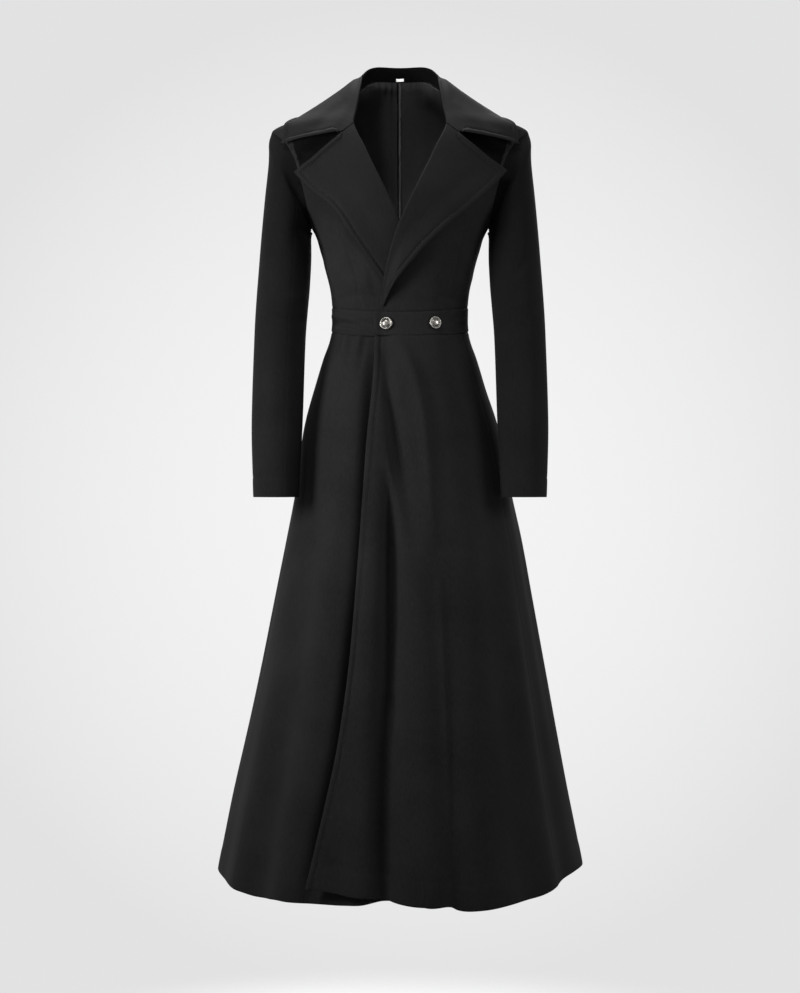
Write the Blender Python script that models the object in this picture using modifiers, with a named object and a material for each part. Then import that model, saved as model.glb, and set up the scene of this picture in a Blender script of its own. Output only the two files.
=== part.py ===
"""A long black frock coat as it is worn, hollow, with nobody in it.

Wide notched collar and lapels, a fitted bodice, a waistband with two metal buttons, long tailored sleeves
and a full skirt to the floor, lapped left over right. The origin is between the shoulders, 5 mm below the
neck end of the shoulder seams, where the wearer carries it. +X is the coat's left, -Y its front, +Z up.
"""

from bisect import bisect_right
from collections import namedtuple
from math import asin, cos, exp, pi, radians, sin

import bmesh
import bpy
from mathutils import Vector

MM = 0.001  # every size below is in millimetres, and the model is in metres

# Cloth and seams
CLOTH = 2.0
TURNED_CLOTH = 2.4  # collar and lapels: two cloths and their stiffening, pressed flat
LINING = 1.0
LINING_GAP = 0.7
LINING_TRIM = 0.15  # how far the lining stays inside the back's edges, in mesh rows
LINING_TOP_TRIM = 0.04
SEAM = 0.3
SHARP_EDGE = radians(40)  # a bend sharper than this is shaded as an edge

# Waist: how high its seam is at the sides, and how it dips in front and rises behind
WAIST_SIDE_Z = -356.0
WAIST_DIP = 10.0
WAIST_FRONT_DIP = 6.0
BAND_HEIGHT = 40.0
BAND_PROUD = 0.6

# Skirt
HEM_Z = -1283.0
SKIRT_SEAM = radians(62)  # the seam between a front and a back of the skirt
UNDERLAP = radians(19.5)  # where the right front ends, under the left one
FOLD_GROWTH = 1.2  # how the folds deepen on their way down: 1 evenly, more than 1 mostly near the hem

# Left front over right front: how far out it lies, from the neck to the waist and from the waist to the hem
LAP_WAIST = 7.0
LAP_HEM = 14.0
LAP_START_Z = -125.0
LAP_FULL_Z = -212.0
LAP_FULL = radians(24)
LAP_END = radians(52)

# Shoulder, armhole and neck
TIP_Z = -69.0
UNDERARM_Z = -224.0
NECK_SIDE_Z = 5.0
NAPE_Z = 32.0
BACK_PULL = 0.45  # the share of the back's height above which its rows bend up to the neck and shoulder

# Collar and lapels: how far their outer face lies off the cloth beneath
ROLL_LIFT = 3.6
LAPEL_TIP_LIFT = 7.0
COLLAR_LIFT = 5.4
NOTCH_SHARE = 0.18  # how far along the lapel's top edge the collar is sewn to it
COLLAR_SEAM = 1.3  # the stand starts this far above the neck seam, clear of the turned edge below
LAPEL_SEAM = 0.6  # and a lapel starts this far off the front's edge
STAND_LEAN = 0.25  # the stand at the nape, between upright (0) and in line with the fall (1)
FALL_STEP = 0.05  # the share of a fall over which its direction at the roll is taken
FALL_BLEND = 1.1  # how evenly the collar's fall takes up the step from the end of its roll

# Buttons and label
BUTTON_RADIUS = 10.0
BUTTON_STEPS = 20
BUTTON_ANGLES = {"inner": radians(-10.6), "outer": radians(28.0)}
LABEL_WIDTH = 13.0
LABEL_HEIGHT = 4.8
LABEL_WALL = 0.8
LABEL_FOOT = 0.1  # the mesh row of the collar's stand where it starts

# Mesh rows and columns of the pieces
SIDE_ROWS = 4
ARMHOLE_ROWS = 8
BODICE_ROWS = SIDE_ROWS + ARMHOLE_ROWS
GORGE_ROW = 9  # the row of a front where the collar ends and the lapel's roll begins
COLLAR_END_ROW = GORGE_ROW + 0.04
LAPEL_END_ROW = 0.25  # the lapel runs out just above the waist seam
FRONT_COLUMNS = 9
BACK_COLUMNS = 12
NAPE_COLUMNS = 5  # columns of a back between the middle seam and the neck's side
BAND_ROWS = 2
BAND_FRONT_COLUMNS = 12
BAND_BACK_COLUMNS = 18
SKIRT_ROWS = 14
SKIRT_CROWDING = 0.25  # the skirt's rows lie closer near the waist, where it curves most
SKIRT_FRONT_COLUMNS = 20
SKIRT_BACK_COLUMNS = 24
ROLL_ROWS = 4
LAPEL_COLUMNS = 6
STAND_ROWS = 2
COLLAR_ROWS = 7
COLLAR_STATIONS = NAPE_COLUMNS + BODICE_ROWS - GORGE_ROW


class Rows:
    """A short table read between its rows, on smooth curves that never overshoot them."""

    def __init__(self, names, *rows):
        rows = sorted(rows)
        self.knots = [row[0] for row in rows]
        self.columns = {}
        for name, values in zip(names.split(), zip(*rows)):
            self.columns[name] = (values, self.slopes(values))

    def slopes(self, values):
        rises = []
        for index in range(len(values) - 1):
            rises.append((values[index + 1] - values[index]) / (self.knots[index + 1] - self.knots[index]))
        inner = [2 * a * b / (a + b) if a * b > 0 else 0.0 for a, b in zip(rises, rises[1:])]
        return [rises[0], *inner, rises[-1]]

    def at(self, name, place):
        values, slopes = self.columns[name]
        low = min(max(bisect_right(self.knots, place) - 1, 0), len(self.knots) - 2)
        step = self.knots[low + 1] - self.knots[low]
        u = (place - self.knots[low]) / step
        return (
            values[low] * (1 + 2 * u) * (1 - u) ** 2
            + values[low + 1] * (3 - 2 * u) * u**2
            + step * u * (1 - u) * (slopes[low] * (1 - u) - slopes[low + 1] * u)
        )


# Level sections of the whole coat. From the underarm to the shoulder the half width runs on through the arm.
FIGURE = Rows(
    "z middle_x half_width front back",
    (34, 0, 56, 38, 70),
    (20, 0, 58, 40, 73),
    (5, 0, 66, 42, 78),
    (-20, 0, 115, 54, 86),
    (-45, 0, 164.5, 67, 94),
    (-69, 0, 212, 80, 100),
    (-90, 0, 208, 90, 104),
    (-120, 0, 200, 100, 108),
    (-147, 0, 190, 107, 110),
    (-187, 0, 172, 114, 109),
    (-224, 0, 146.5, 116, 107),
    (-260, 0, 132.5, 112, 102),
    (-300, 0, 121, 104, 96),
    (-333, 0, 114, 97, 92),
    (-356, 0, 112, 93, 90),
    (-380, 0, 111.5, 91, 89),
    (-398, 0, 113, 92, 90),
    (-412, 0, 116, 95, 93),
    (-440, 0, 126, 105, 104),
    (-483, 0, 139, 119, 120),
    (-555, 2, 160, 139, 143),
    (-667, 5, 179, 162, 168),
    (-738, 6, 193, 178, 184),
    (-838, 5, 211, 199, 205),
    (-945, 4, 230, 221, 227),
    (-1064, 2, 252, 245, 250),
    (-1177, 0, 274, 267, 271),
    (-1283, 0, 294, 285, 289),
)

# Front edge of the left front, from the waist seam up the lapel's roll and round the neck
ROLL = Rows(
    "z x",
    (-377, -31),
    (-348, -26),
    (-308, -20),
    (-251, -5.5),
    (-214, 10),
    (-165, 33),
    (-111, 58),
    (-60, 77.5),
    (-36, 76),
    (-14, 72),
    (5, 66),
)

# How high each mesh row of a front lies along that edge
FRONT_EDGE = Rows("row z", (0, -371.2), (4, -226), (9, -70), (12, 5))

# Armhole, the same in front and behind
ARMHOLE = Rows(
    "z x",
    (-69, 212),
    (-90, 189),
    (-120, 172),
    (-147, 164),
    (-187, 154),
    (-205, 150.5),
    (-217, 148),
    (-224, 147),
)

# Outer edge of each lapel against the mesh row of its roll: the right one reaches further under the left
LAPEL_EDGES = {
    "left": Rows(
        "row x z",
        (0.25, -25, -363),
        (1, -11, -331),
        (2, 10, -300),
        (4, 52, -250),
        (6, 93, -211),
        (8, 140, -168),
        (9, 163, -140),
    ),
    "right": Rows(
        "row x z",
        (0.25, -25, -363),
        (1, -2, -349),
        (2, 28, -320),
        (4, 68, -258),
        (6, 101, -206),
        (8, 142, -168),
        (9, 163, -142),
    ),
}

# Collar from the nape (station 0) round to its front end: height of its stand, where its fall ends, and how
# far off the cloth that edge lies
COLLAR = Rows(
    "station stand edge_angle edge_z edge_lift",
    (0, 22, 180, -66, 5.5),
    (2, 22, 148, -66, 5.5),
    (3.5, 20.5, 118, -58, 5),
    (5, 19, 92, -48, 4.6),
    (6, 13, 73, -53, 5.8),
    (7, 6, 61, -69, 7.8),
    (8, 1, 64, -98, 7),
)
COLLAR_TIP_X = 184.0
COLLAR_TIP_Z = -98.0

# Front edge of the skirt's left front, where it laps over the right
SKIRT_EDGE = Rows(
    "z x",
    (-372, -38),
    (-413, -38),
    (-560, -45),
    (-760, -56),
    (-900, -67),
    (-1050, -88),
    (-1160, -111),
    (-1283, -138),
)

# Hem of the skirt's left side: the lapped corner hangs shorter, and the cloth dips beside the front fold
HEM_RISE = Rows(
    "angle rise",
    (-29, 23),
    (-18, 19),
    (-8, 13),
    (4, 5),
    (11, 3),
    (20, -6),
    (30, -5),
    (45, 2),
    (62, 6),
    (95, 0),
)

# Sleeve: its outer and inner line seen from the front, and its depth, down its length
SLEEVE = Rows(
    "share outer_x outer_z inner_x inner_z half_depth middle_y",
    (0.0, 212, -69, 147, -224, 56, 0),
    (0.08, 216.5, -120, 146.5, -242, 63, -1),
    (0.2, 223, -185, 146, -272, 64, -5),
    (0.35, 230, -275, 147.5, -318, 60, -16),
    (0.55, 236.5, -400, 153.5, -412, 54, -42),
    (0.8, 238.5, -545, 156.5, -548, 48, -76),
    (1.0, 234, -668.5, 161.5, -668.5, 44, -99),
)
SLEEVE_SHARES = (0.0, 0.012, 0.03, 0.06, 0.11, 0.18, 0.27, 0.38, 0.5, 0.62, 0.75, 0.88, 1.0)
SLEEVE_HEAD = 0.05  # share of its length in which the sleeve takes its own round form
SLEEVE_LENGTH = 620.0
HEAD_OUT = 0.15  # which way the cloth leaves the armhole: sideways at the shoulder and the underarm,
HEAD_SIDE_OUT = 0.75  # how much more so in front and behind,
HEAD_SIDE_RISE = 0.5  # and how much less it drops there
SLEEVE_SEAM_COLUMN = 5  # the seams of the upper and the under sleeve, in armhole rows from the shoulder

# Half section of a button, from the middle of its dome round to its shank: share of its radius, and height
BUTTON_SECTION = (
    (0.0, 6.4),
    (0.3, 6.1),
    (0.52, 5.3),
    (0.58, 4.7),
    (0.68, 4.9),
    (0.76, 4.3),
    (0.88, 4.5),
    (1.0, 3.6),
    (0.96, 2.6),
    (0.3, 2.2),
    (0.28, 0.0),
    (0.0, 0.0),
)

# Soft folds of the skirt, ridges out and troughs in: place at the waist and at the hem, where each starts,
# how far it stands at the hem, and its half width
Fold = namedtuple("Fold", "top hem start height width")
FOLDS = (
    Fold(-14, -11, -430, 10, 4.5),
    Fold(-7, -4, -420, -15, 5),
    Fold(3, 8.5, -412, 17, 6),
    Fold(15, 14.5, -760, -7, 4),
    Fold(26, 22, -640, 11, 7),
    Fold(44, 43, -520, -11, 9),
    Fold(66, 67, -600, -12, 9),
    Fold(92, 92, -500, 10, 9),
    Fold(112, 114, -480, -14, 9),
    Fold(133, 135, -450, 18, 9),
    Fold(153, 155, -450, -15, 8),
    Fold(176, 176, -440, 17, 9),
    Fold(-160, -159, -450, -15, 8),
    Fold(-139, -138, -450, 17, 9),
    Fold(-117, -118, -480, -14, 9),
    Fold(-95, -97, -500, 10, 9),
    Fold(-74, -77, -540, -4, 8),
    Fold(-58, -60, -520, 5, 7),
    Fold(-47, -49, -480, -8, 7),
    Fold(-33, -35, -430, 14, 8),
)


def between(low, high, share):
    return low + (high - low) * share


def ease(low, high, place):
    """0 before low, 1 after high, and a smooth rise between."""
    u = min(max((place - low) / (high - low), 0.0), 1.0)
    return u * u * (3 - 2 * u)


def turn_apart(one, other):
    """Angle from one direction to another, the short way round."""
    return (one - other + pi) % (2 * pi) - pi


def fold_height(angle, z):
    """How far the skirt's folds stand out here."""
    total = 0.0
    for fold in FOLDS:
        down = (fold.start - z) / (fold.start - HEM_Z)
        if down <= 0:
            continue
        middle = radians(between(fold.top, fold.hem, down))
        apart = turn_apart(angle, middle) / radians(fold.width)
        total += fold.height * down**FOLD_GROWTH * exp(-(apart**2))
    return total


def figure(angle, z):
    """Outer face of the coat's cloth. The angle runs from the middle of the front towards the coat's left."""
    half_width = FIGURE.at("half_width", z)
    depth = FIGURE.at("front" if cos(angle) > 0 else "back", z)
    point = Vector((FIGURE.at("middle_x", z) + half_width * sin(angle), -depth * cos(angle), z))
    level_normal = Vector((depth * sin(angle), -half_width * cos(angle), 0)).normalized()
    return point + level_normal * fold_height(angle, z)


def outward(angle, z):
    """Direction straight out of the cloth."""
    turn = 0.002
    rise = 0.2
    round_it = figure(angle + turn, z) - figure(angle - turn, z)
    up_it = figure(angle, z + rise) - figure(angle, z - rise)
    return round_it.cross(up_it).normalized()


def lap(angle, z):
    """How far the left front lies out over the right one."""
    down = (WAIST_SIDE_Z - z) / (WAIST_SIDE_Z - HEM_Z)
    most = between(LAP_WAIST, LAP_HEM, max(down, 0.0)) * ease(LAP_START_Z, LAP_FULL_Z, z)
    return most * (1 - ease(LAP_FULL, LAP_END, angle))


def on_coat(angle, z, lift, lapped):
    """Point off the right front and the backs, or off the left front where lapped."""
    if lapped:
        lift += lap(angle, z)
    return figure(angle, z) + outward(angle, z) * lift


def angle_of(x, z):
    """Where on the front half a point lies that far to the side."""
    return asin(min(max((x - FIGURE.at("middle_x", z)) / FIGURE.at("half_width", z), -1.0), 1.0))


def waist_top(angle):
    return WAIST_SIDE_Z - WAIST_DIP * cos(angle) - WAIST_FRONT_DIP * cos(angle) ** 2


def waist_bottom(angle):
    return waist_top(angle) - BAND_HEIGHT


def new_material(name, colour, roughness, metallic=0.0):
    material = bpy.data.materials.new(name)
    material.use_nodes = True
    shader = material.node_tree.nodes["Principled BSDF"]
    shader.inputs["Base Color"].default_value = (*colour, 1.0)
    shader.inputs["Roughness"].default_value = roughness
    shader.inputs["Metallic"].default_value = metallic
    return material


def new_object(name, data, material):
    made = bpy.data.objects.new(name, data)
    data.materials.append(material)
    bpy.data.collections["frock_coat"].objects.link(made)
    return made


def cloth(name, columns, rows, place, wall, away_from, material):
    """Closed wall of cloth. place(s, t) gives its shown face, and the other face lies one wall behind that.

    away_from is a point on the hidden side of the piece's middle.
    """
    near = 0.0005

    def normal(s, t):
        across = place(s + near, t) - place(s - near, t)
        along = place(s, t + near) - place(s, t - near)
        return across.cross(along).normalized()

    facing = 1 if normal(0.5, 0.5).dot(place(0.5, 0.5) - away_from) > 0 else -1
    grid = bmesh.new()
    bmesh.ops.create_grid(grid, x_segments=columns, y_segments=rows, size=0.5)
    grown = bmesh.ops.extrude_face_region(grid, geom=grid.faces[:], use_keep_orig=True)["geom"]
    hidden = {item for item in grown if isinstance(item, bmesh.types.BMVert)}
    for vertex in grid.verts:
        s = vertex.co.x + 0.5
        t = vertex.co.y + 0.5
        point = place(s, t)
        if vertex in hidden:
            point = point - normal(s, t) * (wall * facing)
        vertex.co = point * MM
    bmesh.ops.recalc_face_normals(grid, faces=grid.faces[:])
    if grid.calc_volume(signed=True) < 0:
        bmesh.ops.reverse_faces(grid, faces=grid.faces[:])
    mesh = bpy.data.meshes.new(name)
    grid.to_mesh(mesh)
    grid.free()
    mesh.shade_smooth()
    mesh.set_sharp_from_angle(angle=SHARP_EDGE)
    return new_object(name, mesh, material)


def side_z(row):
    """Height of a bodice row at the side seam, and above the underarm on the armhole."""
    if row <= SIDE_ROWS:
        return between(WAIST_SIDE_Z, UNDERARM_Z, row / SIDE_ROWS)
    turn = pi * (BODICE_ROWS - row) / ARMHOLE_ROWS
    return (TIP_Z + UNDERARM_Z) / 2 + (TIP_Z - UNDERARM_Z) / 2 * cos(turn)


def side_angle(row):
    """Where a bodice row ends: at the side seam, and above the underarm on the armhole."""
    if row <= SIDE_ROWS or row >= BODICE_ROWS:
        return pi / 2
    z = side_z(row)
    return angle_of(ARMHOLE.at("x", z), z)


def half_seam(depth):
    """Half the width of a seam, as an angle where the section is that deep."""
    return SEAM / 2 / depth


def front_place(row, share):
    """Angle and height on a front of the bodice, from its edge (share 0) to the side (share 1)."""
    edge_z = FRONT_EDGE.at("z", row)
    edge_angle = angle_of(ROLL.at("x", edge_z), edge_z)
    outer_z = side_z(row)
    outer_angle = side_angle(row)
    angle = between(edge_angle, outer_angle, share)
    height = between(edge_z - waist_top(edge_angle), outer_z - waist_top(outer_angle), share)
    z = waist_top(angle) + height + SEAM / 2 * (1 - row / BODICE_ROWS)
    shoulder = ease(BODICE_ROWS - 1, BODICE_ROWS, row)
    angle -= half_seam(FIGURE.at("front", z)) * max(share, shoulder)
    return angle, z


def bodice_front(side, material):
    left = side == "left"
    mirror = 1 if left else -1

    def place(s, t):
        angle, z = front_place(t * BODICE_ROWS, s)
        point = on_coat(angle, z, 0.0, left)
        return Vector((mirror * point.x, point.y, point.z))

    middle = Vector((0, 0, WAIST_SIDE_Z / 2))
    return cloth(f"bodice_front_{side}", FRONT_COLUMNS, BODICE_ROWS, place, CLOTH, middle, material)


def nape_curve(share):
    """Angle and height of the neck seam behind, from the middle (share 0) to the neck's side (share 1)."""
    return between(pi, pi / 2, share), between(NAPE_Z, NECK_SIDE_Z, share**3)


def back_place(row, column):
    """Angle and height on a back of the bodice, from the middle seam (column 0) to the side."""
    share = column / BACK_COLUMNS
    high = row / BODICE_ROWS
    outer_z = side_z(row)
    outer_angle = side_angle(row)
    if row > SIDE_ROWS:
        outer_angle = pi - outer_angle
    angle = between(pi, outer_angle, share)
    height = between(high * (NAPE_Z - waist_top(pi)), outer_z - waist_top(outer_angle), share)
    z = waist_top(angle) + height
    top_share = min(column / NAPE_COLUMNS, 1.0)
    top_angle, top_z = nape_curve(top_share)
    if column > NAPE_COLUMNS:
        top_z = between(NECK_SIDE_Z, TIP_Z, (column - NAPE_COLUMNS) / (BACK_COLUMNS - NAPE_COLUMNS))
    straight_angle = between(pi, pi / 2, share)
    straight_z = waist_top(straight_angle) + between(NAPE_Z - waist_top(pi), TIP_Z - WAIST_SIDE_Z, share)
    pull = max(0.0, (high - BACK_PULL) / (1 - BACK_PULL)) ** 2
    angle += (top_angle - straight_angle) * pull
    z += (top_z - straight_z) * pull + SEAM / 2 * (1 - high)
    shoulder = ease(BODICE_ROWS - 1, BODICE_ROWS, row) * top_share
    angle += half_seam(FIGURE.at("back", z)) * max(share, shoulder)
    angle -= half_seam(FIGURE.at("half_width", z)) * (1 - share)
    return angle, z


def bodice_back(side, material):
    mirror = 1 if side == "left" else -1

    def place(s, t):
        angle, z = back_place(t * BODICE_ROWS, s * BACK_COLUMNS)
        point = on_coat(angle, z, 0.0, False)
        return Vector((mirror * point.x, point.y, point.z))

    middle = Vector((0, 0, WAIST_SIDE_Z / 2))
    return cloth(f"bodice_back_{side}", BACK_COLUMNS, BODICE_ROWS, place, CLOTH, middle, material)


def back_lining(side, material):
    """The lining that shows inside the back, below the collar."""
    mirror = 1 if side == "left" else -1
    columns = BACK_COLUMNS - 1

    def place(s, t):
        row = min(max(t * BODICE_ROWS, LINING_TRIM), BODICE_ROWS - LINING_TOP_TRIM)
        angle, z = back_place(row, min(s * columns, columns - LINING_TRIM))
        point = on_coat(angle, z, -CLOTH - LINING_GAP - LINING, False)
        return Vector((mirror * point.x, point.y, point.z))

    behind = Vector((mirror * 60, 300, WAIST_SIDE_Z / 2))
    return cloth(f"lining_back_{side}", columns, BODICE_ROWS, place, LINING, behind, material)


def waistband(name, start, end, columns, lapped, material):
    def place(s, t):
        angle = between(start, end, s)
        z = between(waist_bottom(angle) + SEAM / 2, waist_top(angle) - SEAM / 2, t)
        return on_coat(angle, z, BAND_PROUD, lapped)

    inside = Vector((0, 0, WAIST_SIDE_Z))
    return cloth(name, columns, BAND_ROWS, place, CLOTH, inside, material)


def waistbands(material):
    edge = angle_of(SKIRT_EDGE.at("x", WAIST_SIDE_Z), WAIST_SIDE_Z)
    seam = half_seam(FIGURE.at("back", WAIST_SIDE_Z))
    waistband("waistband_front_left", edge, pi / 2 - seam, BAND_FRONT_COLUMNS, True, material)
    waistband("waistband_front_right", seam - pi / 2, UNDERLAP, BAND_FRONT_COLUMNS, False, material)
    waistband("waistband_back", pi / 2 + seam, 3 * pi / 2 - seam, BAND_BACK_COLUMNS, False, material)


def hem(angle, left):
    """Height of the hem, level but for the left side of the skirt."""
    if not left:
        return HEM_Z
    return HEM_Z + HEM_RISE.at("rise", min(angle * 180 / pi, HEM_RISE.knots[-1]))


def skirt_panel(name, columns, bounds, material):
    """Panel of the skirt between two angles, which bounds(z) gives."""
    left = name.endswith("left")
    lapped = name == "skirt_front_left"

    def place(s, t):
        down = (1 - t) * (1 - SKIRT_CROWDING * t)
        z = between(WAIST_SIDE_Z - BAND_HEIGHT, HEM_Z, down)
        low, high = bounds(z)
        angle = between(low, high, s)
        z = between(waist_bottom(angle) - SEAM / 2, hem(angle, left), down)
        return on_coat(angle, z, 0.0, lapped)

    inside = Vector((0, 0, place(0.5, 0.5).z))
    return cloth(name, columns, SKIRT_ROWS, place, CLOTH, inside, material)


def skirt(material):
    def seam(z):
        return half_seam(FIGURE.at("half_width", z))

    def left_front(z):
        return angle_of(SKIRT_EDGE.at("x", z), z), SKIRT_SEAM - seam(z)

    def right_front(z):
        return seam(z) - SKIRT_SEAM, UNDERLAP

    def left_back(z):
        return SKIRT_SEAM + seam(z), pi - seam(z)

    def right_back(z):
        return pi + seam(z), 2 * pi - SKIRT_SEAM - seam(z)

    skirt_panel("skirt_front_left", SKIRT_FRONT_COLUMNS, left_front, material)
    skirt_panel("skirt_front_right", SKIRT_FRONT_COLUMNS, right_front, material)
    skirt_panel("skirt_back_left", SKIRT_BACK_COLUMNS, left_back, material)
    skirt_panel("skirt_back_right", SKIRT_BACK_COLUMNS, right_back, material)


def rolled(foot, up, out, stand, row):
    """Shown face of cloth that stands up from its foot and rolls over outwards, as far as the roll's end.

    row counts the mesh rows of the stand and then those of the roll.
    """
    if row <= STAND_ROWS:
        return foot + up * (stand * row / STAND_ROWS) - out * CLOTH
    turn = pi * (row - STAND_ROWS) / ROLL_ROWS
    radius = (ROLL_LIFT + CLOTH) / 2
    centre = foot + up * stand + out * (ROLL_LIFT - CLOTH) / 2
    return centre + (up * sin(turn) - out * cos(turn)) * radius


def lapel_point(side, row, column):
    """Shown face of a lapel: column 0 to ROLL_ROWS round its roll, then out to its edge."""
    left = side == "left"
    row = max(row, LAPEL_END_ROW)
    roll_angle, roll_z = front_place(row, 0.0)
    roll_x = ROLL.at("x", roll_z)
    edge_x = LAPEL_EDGES[side].at("x", row)
    edge_z = LAPEL_EDGES[side].at("z", row)
    high = (row - LAPEL_END_ROW) / (GORGE_ROW - LAPEL_END_ROW)

    def fall(share):
        z = between(roll_z, edge_z, share)
        lift = between(ROLL_LIFT, between(ROLL_LIFT, LAPEL_TIP_LIFT, high**2), share)
        return on_coat(angle_of(between(roll_x, edge_x, share), z), z, lift, left)

    share = (column - ROLL_ROWS) / LAPEL_COLUMNS
    if share >= 0:
        return fall(share)
    up = (fall(0.0) - fall(FALL_STEP)).normalized()
    out = outward(roll_angle, roll_z)
    up = (up - out * up.dot(out)).normalized()
    foot = on_coat(roll_angle, roll_z, 0.0, left) + up * LAPEL_SEAM
    return rolled(foot, up, out, 0.0, column + STAND_ROWS)


def lapel(side, material):
    mirror = 1 if side == "left" else -1
    columns = ROLL_ROWS + LAPEL_COLUMNS

    def place(s, t):
        point = lapel_point(side, t * GORGE_ROW, s * columns)
        return Vector((mirror * point.x, point.y, point.z))

    behind = Vector((mirror * 40, 0, WAIST_SIDE_Z / 2))
    return cloth(f"lapel_{side}", columns, GORGE_ROW, place, TURNED_CLOTH, behind, material)


def collar_seam(station):
    """Angle and height of the neck seam at a collar station, from the nape round to the front end."""
    if station <= NAPE_COLUMNS:
        return nape_curve(station / NAPE_COLUMNS)
    row = BODICE_ROWS - (station - NAPE_COLUMNS)
    return front_place(max(row, COLLAR_END_ROW), 0.0)


def collar_fall(station, share):
    """Angle and height on the coat over which a point of the collar's fall lies."""
    seam_angle, seam_z = collar_seam(station)
    edge_angle = radians(COLLAR.at("edge_angle", station))
    angle = between(seam_angle, edge_angle, share)
    z = between(seam_z, COLLAR.at("edge_z", station), share)
    front = station - (COLLAR_STATIONS - 1)
    if front > 0:
        gorge_angle, gorge_z = collar_front_edge(share)
        angle = between(angle, gorge_angle, front)
        z = between(z, gorge_z, front)
    return angle, z


def collar_front_edge(share):
    """Front end of the collar: sewn along the lapel's top edge to the notch, then free out to its tip."""
    roll_z = FRONT_EDGE.at("z", GORGE_ROW)
    roll_x = ROLL.at("x", roll_z)
    edges = LAPEL_EDGES["left"]
    notch_x = between(roll_x, edges.at("x", GORGE_ROW), NOTCH_SHARE)
    notch_z = between(roll_z, edges.at("z", GORGE_ROW), NOTCH_SHARE)
    if share < NOTCH_SHARE:
        x = between(roll_x, notch_x, share / NOTCH_SHARE)
        z = between(roll_z, notch_z, share / NOTCH_SHARE)
    else:
        free = (share - NOTCH_SHARE) / (1 - NOTCH_SHARE)
        x = between(notch_x, COLLAR_TIP_X, free)
        z = between(notch_z, COLLAR_TIP_Z, free)
    z += FRONT_EDGE.at("z", COLLAR_END_ROW) - roll_z
    return angle_of(x, z), z


def collar_point(station, row):
    """Shown face of the collar on the coat's left: up the stand, over the roll, then out to its edge."""
    seam_angle, seam_z = collar_seam(station)
    stand = COLLAR.at("stand", station)
    front = max(0.0, station - NAPE_COLUMNS) / (COLLAR_STATIONS - NAPE_COLUMNS)

    def over(share):
        angle, z = collar_fall(station, share)
        lift = between(COLLAR_LIFT, COLLAR.at("edge_lift", station), share)
        lift -= (COLLAR_LIFT - ROLL_LIFT) * front**2 * (1 - share) ** 3
        return on_coat(angle, z, lift, False)

    start = over(0.0)
    out = outward(seam_angle, seam_z)
    flat = (start - over(FALL_STEP)).normalized()
    up = between(Vector((0, 0, 1)), flat, between(STAND_LEAN, 1.0, front)).normalized()
    out = (out - up * out.dot(up)).normalized()
    foot = on_coat(seam_angle, seam_z, 0.0, False) + up * COLLAR_SEAM
    if row <= STAND_ROWS + ROLL_ROWS:
        return rolled(foot, up, out, stand, row)
    end = rolled(foot, up, out, stand, STAND_ROWS + ROLL_ROWS)
    share = (row - STAND_ROWS - ROLL_ROWS) / COLLAR_ROWS
    return over(share) + (end - start) * max(1 - share, 0.0) ** FALL_BLEND


def collar(material):
    rows = STAND_ROWS + ROLL_ROWS + COLLAR_ROWS

    def place(s, t):
        station = (2 * s - 1) * COLLAR_STATIONS
        point = collar_point(abs(station), t * rows)
        return Vector((-point.x if station < 0 else point.x, point.y, point.z))

    below = Vector((0, 0, -60))
    return cloth("collar", 2 * COLLAR_STATIONS, rows, place, TURNED_CLOTH, below, material)


def armhole_point(turn):
    """Armhole from the shoulder (turn 0) by the front to the underarm (turn pi), and back up behind."""
    row = BODICE_ROWS - ARMHOLE_ROWS * abs(turn) / pi
    angle, z = front_place(row, 1.0) if turn >= 0 else back_place(row, BACK_COLUMNS)
    return figure(angle, z)


def sleeve_point(turn, share):
    """Outer face of the left sleeve: turn 0 is its outer line, a quarter turn its front."""
    outer = Vector((SLEEVE.at("outer_x", share), 0, SLEEVE.at("outer_z", share)))
    inner = Vector((SLEEVE.at("inner_x", share), 0, SLEEVE.at("inner_z", share)))
    centre = (outer + inner) / 2 + Vector((0, SLEEVE.at("middle_y", share), 0))
    depth = Vector((0, -SLEEVE.at("half_depth", share), 0))
    tube = centre + (outer - inner) / 2 * cos(turn) + depth * sin(turn)
    own_form = ease(0, SLEEVE_HEAD, share)
    if own_form >= 1:
        return tube
    round_side = abs(sin(turn))
    leave = Vector((HEAD_OUT + HEAD_SIDE_OUT * round_side, 0, HEAD_SIDE_RISE * round_side - 1)).normalized()
    near = turn if turn <= pi else turn - 2 * pi
    head = armhole_point(near) + leave * (SEAM + SLEEVE_LENGTH * share)
    return between(head, tube, own_form)


def sleeve_share(t):
    """Place down the sleeve's length of a mesh row."""
    place = t * (len(SLEEVE_SHARES) - 1)
    low = min(max(int(place), 0), len(SLEEVE_SHARES) - 2)
    return between(SLEEVE_SHARES[low], SLEEVE_SHARES[low + 1], place - low)


def sleeve(side, material):
    mirror = 1 if side == "left" else -1
    seam_turn = pi * SLEEVE_SEAM_COLUMN / ARMHOLE_ROWS
    pieces = {
        "upper": (-seam_turn, seam_turn, 2 * SLEEVE_SEAM_COLUMN),
        "under": (seam_turn, 2 * pi - seam_turn, 2 * (ARMHOLE_ROWS - SLEEVE_SEAM_COLUMN)),
    }
    for name, (first, last, columns) in pieces.items():

        def place(s, t):
            share = sleeve_share(t)
            seam = half_seam(SLEEVE.at("half_depth", share))
            point = sleeve_point(between(first + seam, last - seam, s), share)
            return Vector((mirror * point.x, point.y, point.z))

        share = sleeve_share(0.5)
        middle_x = (SLEEVE.at("outer_x", share) + SLEEVE.at("inner_x", share)) / 2
        axis = Vector((mirror * middle_x, SLEEVE.at("middle_y", share), place(0.5, 0.5).z))
        cloth(f"sleeve_{name}_{side}", columns, len(SLEEVE_SHARES) - 1, place, CLOTH, axis, material)


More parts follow.
